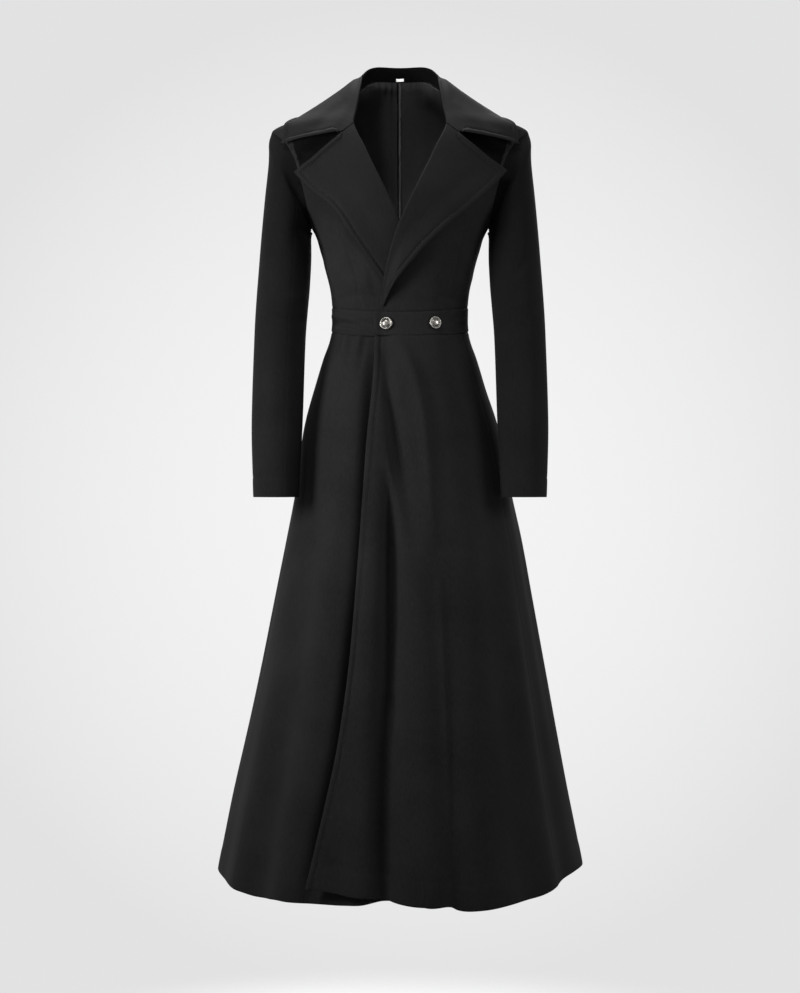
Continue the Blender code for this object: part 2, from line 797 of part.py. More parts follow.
def button(name, angle, material):
    """Domed metal button on the left waistband: a ringed face, a turned rim and a shank behind."""
    z = (waist_top(angle) + waist_bottom(angle)) / 2
    edge = bmesh.new()
    points = []
    for share, height in BUTTON_SECTION:
        points.append(edge.verts.new((BUTTON_RADIUS * share * MM, 0, height * MM)))
    for first, second in zip(points, points[1:]):
        edge.edges.new((first, second))
    mesh = bpy.data.meshes.new(name)
    edge.to_mesh(mesh)
    edge.free()
    made = new_object(name, mesh, material)
    turned = made.modifiers.new("turned", "SCREW")
    turned.steps = BUTTON_STEPS
    turned.render_steps = BUTTON_STEPS
    turned.use_merge_vertices = True
    turned.merge_threshold = 0.01 * MM
    normal = outward(angle, z)
    made.location = on_coat(angle, z, BAND_PROUD + SEAM, True) * MM
    made.rotation_mode = "QUATERNION"
    made.rotation_quaternion = normal.to_track_quat("Z", "Y")


def label(material):
    """Blank tab at the nape, on the neck side of the collar's stand."""
    low = collar_point(0, LABEL_FOOT)
    width = (collar_point(1, LABEL_FOOT) - low).length

    def place(s, t):
        row = LABEL_FOOT + STAND_ROWS * t * LABEL_HEIGHT / COLLAR.at("stand", 0)
        aside = (s - 0.5) * LABEL_WIDTH / width
        point = between(collar_point(0, row), collar_point(1, row), abs(aside))
        x = point.x if aside > 0 else -point.x
        return Vector((x, point.y - SEAM - LABEL_WALL, point.z))

    return cloth("label", 2, 1, place, LABEL_WALL, low + Vector((0, 100, 0)), material)


def clear_scene():
    for item in list(bpy.data.objects):
        bpy.data.objects.remove(item)
    coat = bpy.data.collections.new("frock_coat")
    bpy.context.scene.collection.children.link(coat)


def main():
    clear_scene()
    wool = new_material("black_wool", (0.010, 0.010, 0.011), 0.82)
    facing = new_material("black_facing", (0.011, 0.011, 0.012), 0.75)
    satin = new_material("black_satin_lining", (0.012, 0.012, 0.013), 0.42)
    metal = new_material("old_silver", (0.33, 0.33, 0.34), 0.34, 1.0)
    tape = new_material("white_tape", (0.86, 0.86, 0.85), 0.7)
    for side in ("left", "right"):
        bodice_front(side, wool)
        bodice_back(side, wool)
        back_lining(side, satin)
        lapel(side, facing)
        sleeve(side, wool)
    collar(facing)
    waistbands(wool)
    skirt(wool)
    for place, angle in BUTTON_ANGLES.items():
        button(f"button_{place}", angle, metal)
    label(tape)


main()
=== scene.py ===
# Long black frock coat as it is worn, with nobody in it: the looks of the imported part
import math

import bpy
import numpy as np
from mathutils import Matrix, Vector


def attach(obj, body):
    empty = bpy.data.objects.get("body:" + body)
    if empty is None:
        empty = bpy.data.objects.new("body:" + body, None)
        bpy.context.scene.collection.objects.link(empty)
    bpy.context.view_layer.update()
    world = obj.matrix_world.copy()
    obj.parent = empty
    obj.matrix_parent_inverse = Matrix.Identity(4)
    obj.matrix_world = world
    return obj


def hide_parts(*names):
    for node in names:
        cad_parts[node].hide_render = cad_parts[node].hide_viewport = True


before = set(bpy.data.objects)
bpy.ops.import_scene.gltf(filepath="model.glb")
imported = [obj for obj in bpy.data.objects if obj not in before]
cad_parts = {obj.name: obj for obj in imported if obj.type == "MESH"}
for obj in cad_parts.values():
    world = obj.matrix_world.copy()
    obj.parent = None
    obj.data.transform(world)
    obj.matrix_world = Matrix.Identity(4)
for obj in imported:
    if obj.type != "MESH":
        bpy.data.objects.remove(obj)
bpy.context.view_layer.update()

mm = 0.001  # shapes are worked out in millimetres, the scene is in metres
pi = math.pi
print("frame loaded:", len(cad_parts), "nodes")


# A table that is read on smooth curves, which never overshoot its rows: the column's name, then the place
def makeTable(names, *rows):
    names = names.split()
    values = np.array(sorted(rows), float)
    knots = values[:, 0]
    rises = np.diff(values, axis=0) / np.diff(knots)[:, None]
    both = rises[:-1] * rises[1:]
    slopes = np.zeros_like(values)
    slopes[0] = rises[0]
    slopes[-1] = rises[-1]
    slopes[1:-1] = np.where(both > 0, 2 * both / np.where(both > 0, rises[:-1] + rises[1:], 1), 0)

    def read(name, place):
        column = names.index(name)
        place = np.asarray(place, float)
        low = np.clip(np.searchsorted(knots, place, side="right") - 1, 0, len(knots) - 2)
        step = knots[low + 1] - knots[low]
        u = (place - knots[low]) / step
        bend = step * u * (1 - u) * (slopes[low, column] * (1 - u) - slopes[low + 1, column] * u)
        before, after = values[low, column], values[low + 1, column]
        return before * (1 + 2 * u) * (1 - u) ** 2 + after * (3 - 2 * u) * u**2 + bend

    return read


def mix(low, high, share):
    return low + (high - low) * share


def ease(low, high, place):
    u = np.clip((place - low) / (high - low), 0, 1)
    return u * u * (3 - 2 * u)


def points(x, y, z):
    return np.stack(np.broadcast_arrays(x, y, z), axis=-1).astype(float)


def unit(vectors):
    return vectors / np.maximum(np.linalg.norm(vectors, axis=-1, keepdims=True), 1e-9)


def bell(distance, width):
    return np.exp(-((distance / width) ** 2))


# The same angle, within the turn that begins at the start
def wrapped(angle, start=-pi):
    return (angle - start) % (2 * pi) + start


mirrors = {"left": 1, "right": -1}  # the coat's two sides along X


# The coat's form, the same as its solids
coat = {
    "cloth": 2.0,
    "turnedCloth": 2.4,
    "seam": -0.5,  # sewn edges run into each other, so that no light comes through
    "waistSideZ": -356.0,
    "waistDip": 10.0,
    "waistFrontDip": 6.0,
    "hemZ": -1283.0,
    "foldGrowth": 1.2,
    "lapWaist": 7.0,
    "lapHem": 14.0,
    "lapStartZ": -125.0,
    "lapFullZ": -212.0,
    "lapFull": math.radians(24),
    "lapEnd": math.radians(52),
    "sections": makeTable(
        "z middleX halfWidth front back",
        (34, 0, 56, 38, 70),
        (20, 0, 58, 40, 73),
        (5, 0, 66, 42, 78),
        (-20, 0, 115, 54, 86),
        (-45, 0, 164.5, 67, 94),
        (-69, 0, 212, 80, 100),
        (-90, 0, 208, 90, 104),
        (-120, 0, 200, 100, 108),
        (-147, 0, 190, 107, 110),
        (-187, 0, 172, 114, 109),
        (-224, 0, 146.5, 116, 107),
        (-260, 0, 132.5, 112, 102),
        (-300, 0, 121, 104, 96),
        (-333, 0, 114, 97, 92),
        (-356, 0, 112, 93, 90),
        (-380, 0, 111.5, 91, 89),
        (-398, 0, 113, 92, 90),
        (-412, 0, 116, 95, 93),
        (-440, 0, 126, 105, 104),
        (-483, 0, 139, 119, 120),
        (-555, 2, 160, 139, 143),
        (-667, 5, 179, 162, 168),
        (-738, 6, 193, 178, 184),
        (-838, 5, 211, 199, 205),
        (-945, 4, 230, 221, 227),
        (-1064, 2, 252, 245, 250),
        (-1177, 0, 274, 267, 271),
        (-1283, 0, 294, 285, 289),
    ),
    # place at the waist and at the hem in degrees, start, height at the hem, half width in degrees
    "folds": (
        (-14, -11, -430, 10, 4.5),
        (-7, -4, -420, -15, 5),
        (3, 8.5, -412, 17, 6),
        (15, 14.5, -760, -7, 4),
        (26, 22, -640, 11, 7),
        (44, 43, -520, -11, 9),
        (66, 67, -600, -12, 9),
        (92, 92, -500, 10, 9),
        (112, 114, -480, -14, 9),
        (133, 135, -450, 18, 9),
        (153, 155, -450, -15, 8),
        (176, 176, -440, 17, 9),
        (-160, -159, -450, -15, 8),
        (-139, -138, -450, 17, 9),
        (-117, -118, -480, -14, 9),
        (-95, -97, -500, 10, 9),
        (-74, -77, -540, -4, 8),
        (-58, -60, -520, 5, 7),
        (-47, -49, -480, -8, 7),
        (-33, -35, -430, 14, 8),
    ),
}
section = coat["sections"]


def foldHeight(angle, z):
    total = np.zeros(np.broadcast(angle, z).shape)
    for top, foot, start, height, width in coat["folds"]:
        down = np.maximum((start - z) / (start - coat["hemZ"]), 0)
        apart = wrapped(angle - np.radians(mix(top, foot, down)))
        total += height * down ** coat["foldGrowth"] * bell(apart, math.radians(width))
    return total


# Outer face of the cloth; the angle runs from the middle of the front to the coat's left
def figure(angle, z):
    halfWidth = section("halfWidth", z)
    depth = np.where(np.cos(angle) > 0, section("front", z), section("back", z))
    level = unit(points(depth * np.sin(angle), -halfWidth * np.cos(angle), 0))
    face = points(section("middleX", z) + halfWidth * np.sin(angle), -depth * np.cos(angle), z)
    return face + level * foldHeight(angle, z)[..., None]


def outward(angle, z):
    turn = 0.002  # small steps round and up the cloth
    rise = 0.2
    across = figure(angle + turn, z) - figure(angle - turn, z)
    along = figure(angle, z + rise) - figure(angle, z - rise)
    return unit(np.cross(across, along))


# How far the left front lies out over the right one
def lap(angle, z):
    down = np.maximum((coat["waistSideZ"] - z) / (coat["waistSideZ"] - coat["hemZ"]), 0)
    most = mix(coat["lapWaist"], coat["lapHem"], down) * ease(coat["lapStartZ"], coat["lapFullZ"], z)
    return most * (1 - ease(coat["lapFull"], coat["lapEnd"], angle))


def onCoat(angle, z, lift=0.0, lapped=False):
    angle, z, lift = np.broadcast_arrays(np.asarray(angle, float), np.asarray(z, float), lift)
    if lapped:
        lift = lift + lap(angle, z)
    return figure(angle, z) + outward(angle, z) * lift[..., None]


def angleOf(x, z):
    return np.arcsin(np.clip((x - section("middleX", z)) / section("halfWidth", z), -1, 1))


def waistTop(angle):
    return coat["waistSideZ"] - coat["waistDip"] * np.cos(angle) - coat["waistFrontDip"] * np.cos(angle) ** 2


# Half the gap at a seam, as an angle this far from the middle
def halfSeam(depth):
    return coat["seam"] / 2 / depth


chest = (0, 0, coat["waistSideZ"] / 2)  # a point inside the coat


# Materials

def linear(hexColour):
    channels = [int(hexColour[i:i + 2], 16) / 255 for i in (1, 3, 5)]
    return tuple(c / 12.92 if c <= 0.04045 else ((c + 0.055) / 1.055) ** 2.4 for c in channels) + (1.0,)


def setInputs(node, inputs):
    for socket, value in inputs.items():
        if isinstance(value, bpy.types.NodeSocket):
            node.id_data.links.new(value, node.inputs[socket])
        else:
            node.inputs[socket].default_value = value


# Adds a node and gives back one of its outputs; stops are the places and colours of a ramp
def addNode(tree, kind, inputs, output=0, stops=(), **settings):
    node = tree.nodes.new("ShaderNode" + kind)
    for key, value in settings.items():
        setattr(node, key, value)
    setInputs(node, inputs)
    for i, (position, colour) in enumerate(stops):
        if i == len(node.color_ramp.elements):
            node.color_ramp.elements.new(1.0)
        node.color_ramp.elements[i].position = position
        node.color_ramp.elements[i].color = linear(colour)
    return node.outputs[output]


def newMaterial(name, inputs):
    material = bpy.data.materials.new(name)
    material.use_nodes = True
    tree = material.node_tree
    shader = tree.nodes["Principled BSDF"]
    setInputs(shader, inputs)
    return material, tree, shader, addNode(tree, "TexCoord", {}, "Object")


def perMetre(sizeInMm):
    return 1 / (sizeInMm * mm)


def bandScale(pitchInMm):
    return perMetre(pitchInMm) / 20  # a wave texture of scale 1 has 20 bands a metre


def fromAxis(tree, where):
    flat = addNode(tree, "VectorMath", {0: where, 1: (1.0, 1.0, 0.0)}, operation="MULTIPLY")
    return addNode(tree, "VectorMath", {0: flat}, "Value", operation="LENGTH")


# Wool coating, woven, milled and brushed: deep black with a soft nap that greys where it is seen edge-on
def woolCloth(name, dark, light, rough, gloss, sheen, paintedShade=None):
    twill = 1.4  # mm between ribs; the real 0.6 mm is too fine to show
    uneven = 0.08  # how far the roughness strays
    material, tree, shader, where = newMaterial(name, {
        "IOR": 1.45, "Specular IOR Level": gloss, "Sheen Weight": sheen, "Sheen Roughness": 0.42,
        "Sheen Tint": linear("#bcbcba"),
    })
    clouds = addNode(tree, "TexNoise", {"Vector": where, "Scale": perMetre(90), "Detail": 3.0})
    stretched = addNode(tree, "Mapping", {"Vector": where, "Scale": (1.0, 1.0, 0.22)})
    nap = addNode(
        tree, "TexNoise",
        {"Vector": stretched, "Scale": perMetre(1.8), "Detail": 4.0, "Roughness": 0.62},
    )
    ribs = addNode(
        tree, "TexWave",
        {"Vector": where, "Scale": bandScale(twill), "Distortion": 1.2, "Detail": 2.0},
        "Fac", bands_direction="DIAGONAL",
    )
    tone = addNode(tree, "Math", {0: clouds, 1: 0.55, 2: nap}, operation="MULTIPLY_ADD")
    colour = addNode(tree, "ValToRGB", {"Fac": tone}, stops=((0.5, dark), (1.0, light)))
    if paintedShade:
        # painted shade: the tone is scaled from one height to the other
        lowZ, highZ, lowShare, highShare = paintedShade
        height = addNode(tree, "SeparateXYZ", {"Vector": where}, "Z")
        share = addNode(tree, "MapRange", {
            "Value": height, "From Min": lowZ * mm, "From Max": highZ * mm,
            "To Min": lowShare, "To Max": highShare,
        })
        colour = addNode(tree, "VectorMath", {0: colour, 1: share}, operation="MULTIPLY")
    weave = addNode(tree, "Math", {0: ribs, 1: 0.35, 2: nap}, operation="MULTIPLY_ADD")
    setInputs(shader, {
        "Base Color": colour,
        "Roughness": addNode(
            tree, "MapRange", {"Value": nap, "To Min": rough - uneven, "To Max": min(rough + uneven, 1.0)}
        ),
        "Normal": addNode(tree, "Bump", {"Height": weave, "Strength": 0.3, "Distance": 0.4 * mm}),
    })
    return material


# Viscose satin, woven with long floats down the cloth: a soft streaked gloss on black
def satinLining(name, dark, light):
    material, tree, shader, where = newMaterial(
        name, {"IOR": 1.48, "Specular IOR Level": 0.12, "Anisotropic": 0.4}
    )
    stretched = addNode(tree, "Mapping", {"Vector": where, "Scale": (1.0, 1.0, 0.05)})
    floats = addNode(tree, "TexNoise", {"Vector": stretched, "Scale": perMetre(1.5), "Detail": 3.0})
    setInputs(shader, {
        "Base Color": addNode(tree, "ValToRGB", {"Fac": floats}, stops=((0.3, dark), (0.75, light))),
        "Roughness": addNode(tree, "MapRange", {"Value": floats, "To Min": 0.5, "To Max": 0.66}),
        "Normal": addNode(tree, "Bump", {"Height": floats, "Strength": 0.15, "Distance": 0.2 * mm}),
    })
    return material


# Silver-plated brass, stamped and oxidised: bright on what stands proud, nearly black in the rings
def oldSilver(radius):
    material, tree, shader, where = newMaterial("oxidisedSilverPlate", {"Metallic": 1.0})
    share = addNode(
        tree, "Math", {0: fromAxis(tree, where), 1: perMetre(radius)}, operation="MULTIPLY"
    )
    rings = addNode(tree, "ValToRGB", {"Fac": share}, stops=(
        (0.0, "#8d8b87"), (0.42, "#807e7a"), (0.55, "#3b3a37"), (0.6, "#1b1a19"), (0.68, "#74726e"),
        (0.76, "#1f1e1d"), (0.84, "#85837f"), (0.96, "#93918d"), (1.0, "#353432"),
    ))
    stains = addNode(tree, "TexNoise", {"Vector": where, "Scale": perMetre(2.2), "Detail": 5.0})
    worn = addNode(
        tree, "Mix", {"Factor": stains, 6: rings, 7: linear("#8e8b86")}, 2,
        data_type="RGBA", blend_type="MULTIPLY",
    )
    setInputs(shader, {
        "Base Color": worn,
        "Roughness": addNode(tree, "MapRange", {"Value": stains, "To Min": 0.24, "To Max": 0.46}),
        "Normal": addNode(tree, "Bump", {"Height": stains, "Strength": 0.2, "Distance": 0.1 * mm}),
    })
    return material


# Bands of two tones across a yarn or a narrow weave
def bandedTone(tree, where, pitchInMm, distortion, direction, dark, light):
    bands = addNode(
        tree, "TexWave", {"Vector": where, "Scale": bandScale(pitchInMm), "Distortion": distortion},
        "Fac", bands_direction=direction,
    )
    return bands, addNode(tree, "ValToRGB", {"Fac": bands}, stops=((0.0, dark), (1.0, light)))


# Cotton tape, woven narrow: off-white, matt, with fine cross ribs
def whiteTape():
    material, tree, shader, where = newMaterial(
        "whiteCottonTape", {"Roughness": 0.85, "IOR": 1.5, "Specular IOR Level": 0.3}
    )
    ribs, tone = bandedTone(tree, where, 0.9, 0.4, "Z", "#e4e3de", "#f7f6f2")
    bump = addNode(tree, "Bump", {"Height": ribs, "Strength": 0.4, "Distance": 0.2 * mm})
    setInputs(shader, {"Base Color": tone, "Normal": bump})
    return material


# Polyester sewing thread, twisted: black with a small hard glint
def sewingThread():
    material, tree, shader, where = newMaterial(
        "blackPolyesterThread", {"Roughness": 0.6, "IOR": 1.58, "Specular IOR Level": 0.12}
    )
    tone = bandedTone(tree, where, 0.5, 0.5, "DIAGONAL", "#060606", "#101010")[1]
    setInputs(shader, {"Base Color": tone})
    return material


# tones, roughness, gloss and sheen, then a painted shade: how the tone changes from one height to another
wool = woolCloth("blackWoolCoating", "#0b0b0b", "#131313", 0.9, 0.025, 0.02)
# the same coating, with painted shade darkening it toward the hem
woolSkirtPaintedShade = woolCloth(
    "blackWoolCoatingSkirtPaintedShade", "#0b0b0b", "#131313", 0.9, 0.025, 0.02, (-1290, -640, 0.78, 1.0)
)
# the same coating made darker as painted shade for the sleeves, darkest toward the head and lighter toward
# the cuff
woolSleevesPaintedShade = woolCloth("blackWoolCoatingSleevesPaintedShade", "#080808", "#0e0e0e", 0.9, 0.02, 0.02, (-680, -70, 1.1, 0.55))
facing = woolCloth("blackWoolFacing", "#050505", "#0b0b0b", 0.72, 0.05, 0.015)
# darker undercollar melton, also used as painted shade behind the notch and on the inside of the stand, and
# as painted shadow beside the lining's middle seam
meltonAndPaintedShade = woolCloth("blackUndercollarMeltonAndPaintedShade", "#040404", "#080808", 0.9, 0.0, 0.0)
satin = satinLining("blackViscoseSatin", "#171717", "#202020")
paintedHighlightSatin = satinLining("paintedHighlightViscoseSatin", "#303030", "#404040")  # lighter satin: painted highlight on the pressed fold beside the lining's middle seam
tape = whiteTape()
thread = sewingThread()
print("materials made")


# Meshes

# Places from 0 to 1, closer together by these factors near the two ends
def spread(count, low=1.0, high=1.0):
    reach = 0.1
    at = (np.arange(count) + 0.5) / count
    gaps = 1 - (1 - low) * bell(at, reach) - (1 - high) * bell(1 - at, reach)
    return np.concatenate([[0], np.cumsum(gaps)]) / gaps.sum()


# Along the cloth, in mm, from each edge of a grid
def edgeDistances(face):
    across = np.linalg.norm(np.diff(face, axis=1), axis=-1)
    along = np.linalg.norm(np.diff(face, axis=0), axis=-1)
    left = np.pad(np.cumsum(across, axis=1), ((0, 0), (1, 0)))
    foot = np.pad(np.cumsum(along, axis=0), ((1, 0), (0, 0)))
    return {"left": left, "right": left[:, -1:] - left, "foot": foot, "top": foot[-1:] - foot}


def gridNormals(face, hiddenSide):
    normals = unit(np.cross(np.gradient(face, axis=1), np.gradient(face, axis=0)))
    row, column = face.shape[0] // 2, face.shape[1] // 2
    facingOut = np.dot(normals[row, column], face[row, column] - np.array(hiddenSide)) > 0
    return (normals if facingOut else -normals), facingOut


def meshObject(name, vertices, faces, material):
    mesh = bpy.data.meshes.new(name)
    mesh.from_pydata([tuple(v) for v in np.asarray(vertices) * mm], [], faces)
    mesh.validate()
    mesh.shade_smooth()
    mesh.materials.append(material)
    made = bpy.data.objects.new(name, mesh)
    bpy.context.scene.collection.objects.link(made)
    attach(made, "root")
    return made


def gridFaces(rows, columns, flipped):
    corner = np.arange(rows * columns).reshape(rows, columns)
    quads = np.stack([corner[:-1, :-1], corner[:-1, 1:], corner[1:, 1:], corner[1:, :-1]], axis=-1)
    return (quads[..., ::-1] if flipped else quads).reshape(-1, 4).tolist()


# One piece of cloth: a fine grid on its solid's form, moved by its own relief, with a wall and soft edges
def clothPiece(name, node, s, t, place, relief, wall, hiddenSide, material, softEdge=0.5):
    acrossGrid, alongGrid = np.meshgrid(s, t)
    face = place(acrossGrid, alongGrid)
    normals, facingOut = gridNormals(face, hiddenSide)
    edges = edgeDistances(face)
    face = face + normals * relief(face, acrossGrid, alongGrid, edges)[..., None]
    normals = gridNormals(face, hiddenSide)[0]
    piece = meshObject(name, face.reshape(-1, 3), gridFaces(*face.shape[:2], not facingOut), material)
    thick = piece.modifiers.new("wall", "SOLIDIFY")
    thick.thickness = wall * mm
    thick.offset = -1
    thick.use_quality_normals = True
    rounded = piece.modifiers.new("softEdge", "BEVEL")
    rounded.width = softEdge * mm
    rounded.segments = 2
    rounded.limit_method = "ANGLE"
    rounded.angle_limit = math.radians(50)
    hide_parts(node)
    return piece, {"face": face, "normals": normals, "edges": edges}


# Gives the faces that are picked another material
def patch(piece, material, picked):
    piece.data.materials.append(material)
    for face in piece.data.polygons:
        if picked(face):
            face.material_index = 1


# A soft crease along a path, in two measures of a piece: a ridge where the height is above 0, else a trough
def crease(u, v, path, height, width):
    steps = np.linspace(0, 1, 25)
    knots = np.linspace(0, 1, len(path))
    lineU, lineV = [np.polyval(np.polyfit(knots, places, len(path) - 1), steps) for places in zip(*path)]
    least = np.full(u.shape, np.inf)
    along = np.zeros(u.shape)
    for first in range(len(steps) - 1):
        awayU, awayV = u - lineU[first], v - lineV[first]
        runU, runV = lineU[first + 1] - lineU[first], lineV[first + 1] - lineV[first]
        share = np.clip((awayU * runU + awayV * runV) / (runU**2 + runV**2), 0, 1)
        apart = np.hypot(awayU - share * runU, awayV - share * runV)
        along = np.where(apart < least, (first + share) / (len(steps) - 1), along)
        least = np.minimum(apart, least)
    fade = np.sin(pi * np.clip(along, 0.01, 0.99)) ** 0.6  # low at both ends
    return height * fade * bell(least, width)


# All the creases of a piece; each row is a path, a height and a half width, and inMm gives its spots in mm
def creases(u, v, rows, inMm=lambda *spot: spot):
    total = np.zeros(u.shape)
    for *path, height, width in rows:
        total += crease(u, v, [inMm(*spot) for spot in zip(path[::2], path[1::2])], height, width)
    return total


# Sewn edges sink in: depth and half width for each edge
def seamDip(edges, seams):
    return sum(-depth * bell(edges[edge], width) for edge, (depth, width) in seams.items())


# Cloth turned under at an edge and pressed: a low welt with a sunk line of sewing beside it
def welt(distance, width, height, sunk):
    inside = np.clip(distance / width, 0, 1)
    rounded = np.sqrt(np.clip(1 - (2 * inside - 1) ** 2, 0, 1)) * (distance < width)
    return height * rounded - sunk * bell(distance - width, stitching["dipWidth"])


# Sewing that shows: short stitches along a line on the cloth
stitching = {
    "length": 3.2,
    "gap": 1.2,
    "thick": 0.42,
    "flatness": 1.2,
    "bow": 0.28,
    "sunk": 0.05,
    "sides": 5,
    "rings": 4,
    "dipWidth": 2.2,  # half width of the dip that the sewing pulls in
}


def alongLine(at, measure, spots):
    return np.stack([np.interp(at, measure, spots[:, k]) for k in range(3)], axis=-1)


# The line on a piece that runs this far inside one of its edges, between two shares of the edge's length
def lineAt(cut, edge, distance, start=-1.0, end=2.0):
    face, normals, apart = cut["face"], cut["normals"], cut["edges"][edge]
    if edge in ("foot", "top"):
        face, normals, apart = face.transpose(1, 0, 2), normals.transpose(1, 0, 2), apart.T
    path, outs = [], []
    for row, measure in enumerate(apart):
        if start < row / (len(apart) - 1) < end:
            order = np.argsort(measure)
            path.append(alongLine(distance, measure[order], face[row][order]))
            outs.append(alongLine(distance, measure[order], normals[row][order]))
    return np.array(path), unit(np.array(outs))


def stitches(name, lines):
    vertices, faces = [], []
    sides, rings = stitching["sides"], stitching["rings"]
    pitch = stitching["length"] + stitching["gap"]
    shape = np.linspace(-1, 1, rings)
    rises = stitching["bow"] * (1 - shape**2) - stitching["sunk"]
    radii = stitching["thick"] / 2 * np.sqrt(1.04 - shape**2)  # the ends stay blunt
    for path, outs in lines:
        lengths = np.concatenate([[0], np.cumsum(np.linalg.norm(np.diff(path, axis=0), axis=1))])
        for start in np.arange(pitch, lengths[-1] - pitch, pitch):
            along = start + (shape + 1) / 2 * stitching["length"]
            spine = alongLine(along, lengths, path)
            out = unit(alongLine(along.mean(), lengths, outs))
            side = unit(np.cross(unit(spine[-1] - spine[0]), out)) * stitching["flatness"]
            first = len(vertices)
            for spot, rise, radius in zip(spine, rises, radii):
                for turn in np.arange(sides) * 2 * pi / sides:
                    away = side * math.cos(turn) + out * math.sin(turn)
                    vertices.append(spot + out * rise + away * radius)
            for ring in range(rings - 1):
                for k in range(sides):
                    a = first + ring * sides + k
                    b = first + ring * sides + (k + 1) % sides
                    faces.append((a, b, b + sides, a + sides))
            faces.append(tuple(first + k for k in reversed(range(sides))))
            faces.append(tuple(first + (rings - 1) * sides + k for k in range(sides)))
    made = meshObject(name, np.array(vertices), faces, thread)
    return made


# Fronts and backs of the bodice
bodice = {
    "tipZ": -69.0,
    "underarmZ": -224.0,
    "neckSideZ": 5.0,
    "napeZ": 32.0,
    "backPull": 0.45,
    "sideRows": 4,
    "armholeRows": 8,
    "rows": 12,
    "backColumns": 12,
    "napeColumns": 5,
    "gorgeRow": 9,
    "roll": makeTable(
        "z x",
        (-377, -31), (-348, -26), (-308, -20), (-251, -5.5), (-214, 10), (-165, 33),
        (-111, 58), (-60, 77.5), (-36, 76), (-14, 72), (5, 66),
    ),
    "frontEdge": makeTable("row z", (0, -371.2), (4, -226), (9, -70), (12, 5)),
    "armhole": makeTable(
        "z x",
        (-69, 212), (-90, 189), (-120, 172), (-147, 164), (-187, 154), (-205, 150.5), (-217, 148),
        (-224, 147),
    ),
    # the waist dart of each front, from its point to the waist: x and z
    "darts": {
        "left": (105, -239, 97, -266, 89, -308, 83, -374),
        "right": (-89, -249, -79, -290, -70, -318, -65, -374),
    },
    "dartFolds": ((-2.4, 2.4), (1.2, 10)),  # the sunk line, then the fullness round it: height, half width
    # painted shade behind the notch: lowest and highest z, inner and outer x at the top, lean of the outer
    # side
    "notch": (-141.0, -74.0, 96.0, 180.0, 0.3),
    # the hollow below the collar bone, in the collar's notch, and how far from the armhole it is full
    "hollow": ((80, -60, 126, -94, 172, -120, -19.0, 14),),
    "hollowFull": 14.0,
    # depth and half width of the sunk seams
    "frontSeams": {"right": (0.8, 2.8), "top": (0.35, 2.2), "foot": (1.3, 2.0)},
    "backSeams": dict.fromkeys(("left", "right", "top", "foot"), (0.35, 2.2)),
    # creases: x and z along each, height, half width
    "frontCreases": {
        "left": (
            (150, -232, 128, -262, 112, -280, -2.0, 7),
            (120, -300, 98, -320, 74, -330, 1.6, 8),
            (104, -352, 84, -346, 58, -352, -1.3, 6),
            (60, -352, 40, -345, 18, -340, 1.1, 7),
            (118, -262, 110, -300, 104, -344, 1.6, 7),
        ),
        "right": (
            (-150, -230, -132, -258, -118, -286, -2.4, 7),
            (-128, -262, -112, -296, -100, -336, 2.4, 9),
            (-106, -300, -84, -322, -50, -334, 1.6, 8),
            (-100, -352, -74, -342, -44, -350, -1.6, 6),
            (-58, -300, -44, -326, -38, -352, -1.6, 7),
            (-96, -236, -92, -262, -84, -300, 1.8, 8),
            (-60, -292, -54, -320, -50, -356, 1.4, 6),
        ),
    },
    "backCreases": (
        (148, -230, 122, -252, 96, -262, -1.8, 8),
        (120, -300, 90, -318, 50, -324, 1.3, 9),
        (108, -340, 76, -334, 40, -342, -1.2, 7),
        (60, -60, 66, -110, 60, -170, 1.5, 16),
        (150, -120, 120, -134, 90, -128, -1.2, 12),
    ),
}


def sideZ(row):
    low = mix(coat["waistSideZ"], bodice["underarmZ"], row / bodice["sideRows"])
    turn = pi * (bodice["rows"] - row) / bodice["armholeRows"]
    middle = (bodice["tipZ"] + bodice["underarmZ"]) / 2
    high = middle + (bodice["tipZ"] - bodice["underarmZ"]) / 2 * np.cos(turn)
    return np.where(row <= bodice["sideRows"], low, high)


def sideAngle(row):
    z = sideZ(row)
    straight = (row <= bodice["sideRows"]) | (row >= bodice["rows"])
    return np.where(straight, pi / 2, angleOf(bodice["armhole"]("x", z), z))


def frontPlace(row, share):
    row, share = np.broadcast_arrays(np.asarray(row, float), np.asarray(share, float))
    edgeZ = bodice["frontEdge"]("z", row)
    edgeAngle = angleOf(bodice["roll"]("x", edgeZ), edgeZ)
    outerAngle = sideAngle(row)
    angle = mix(edgeAngle, outerAngle, share)
    height = mix(edgeZ - waistTop(edgeAngle), sideZ(row) - waistTop(outerAngle), share)
    z = waistTop(angle) + height + coat["seam"] / 2 * (1 - row / bodice["rows"])
    shoulder = ease(bodice["rows"] - 1, bodice["rows"], row)
    return angle - halfSeam(section("front", z)) * np.maximum(share, shoulder), z


def napeCurve(share):
    return mix(pi, pi / 2, share), mix(bodice["napeZ"], bodice["neckSideZ"], share**3)


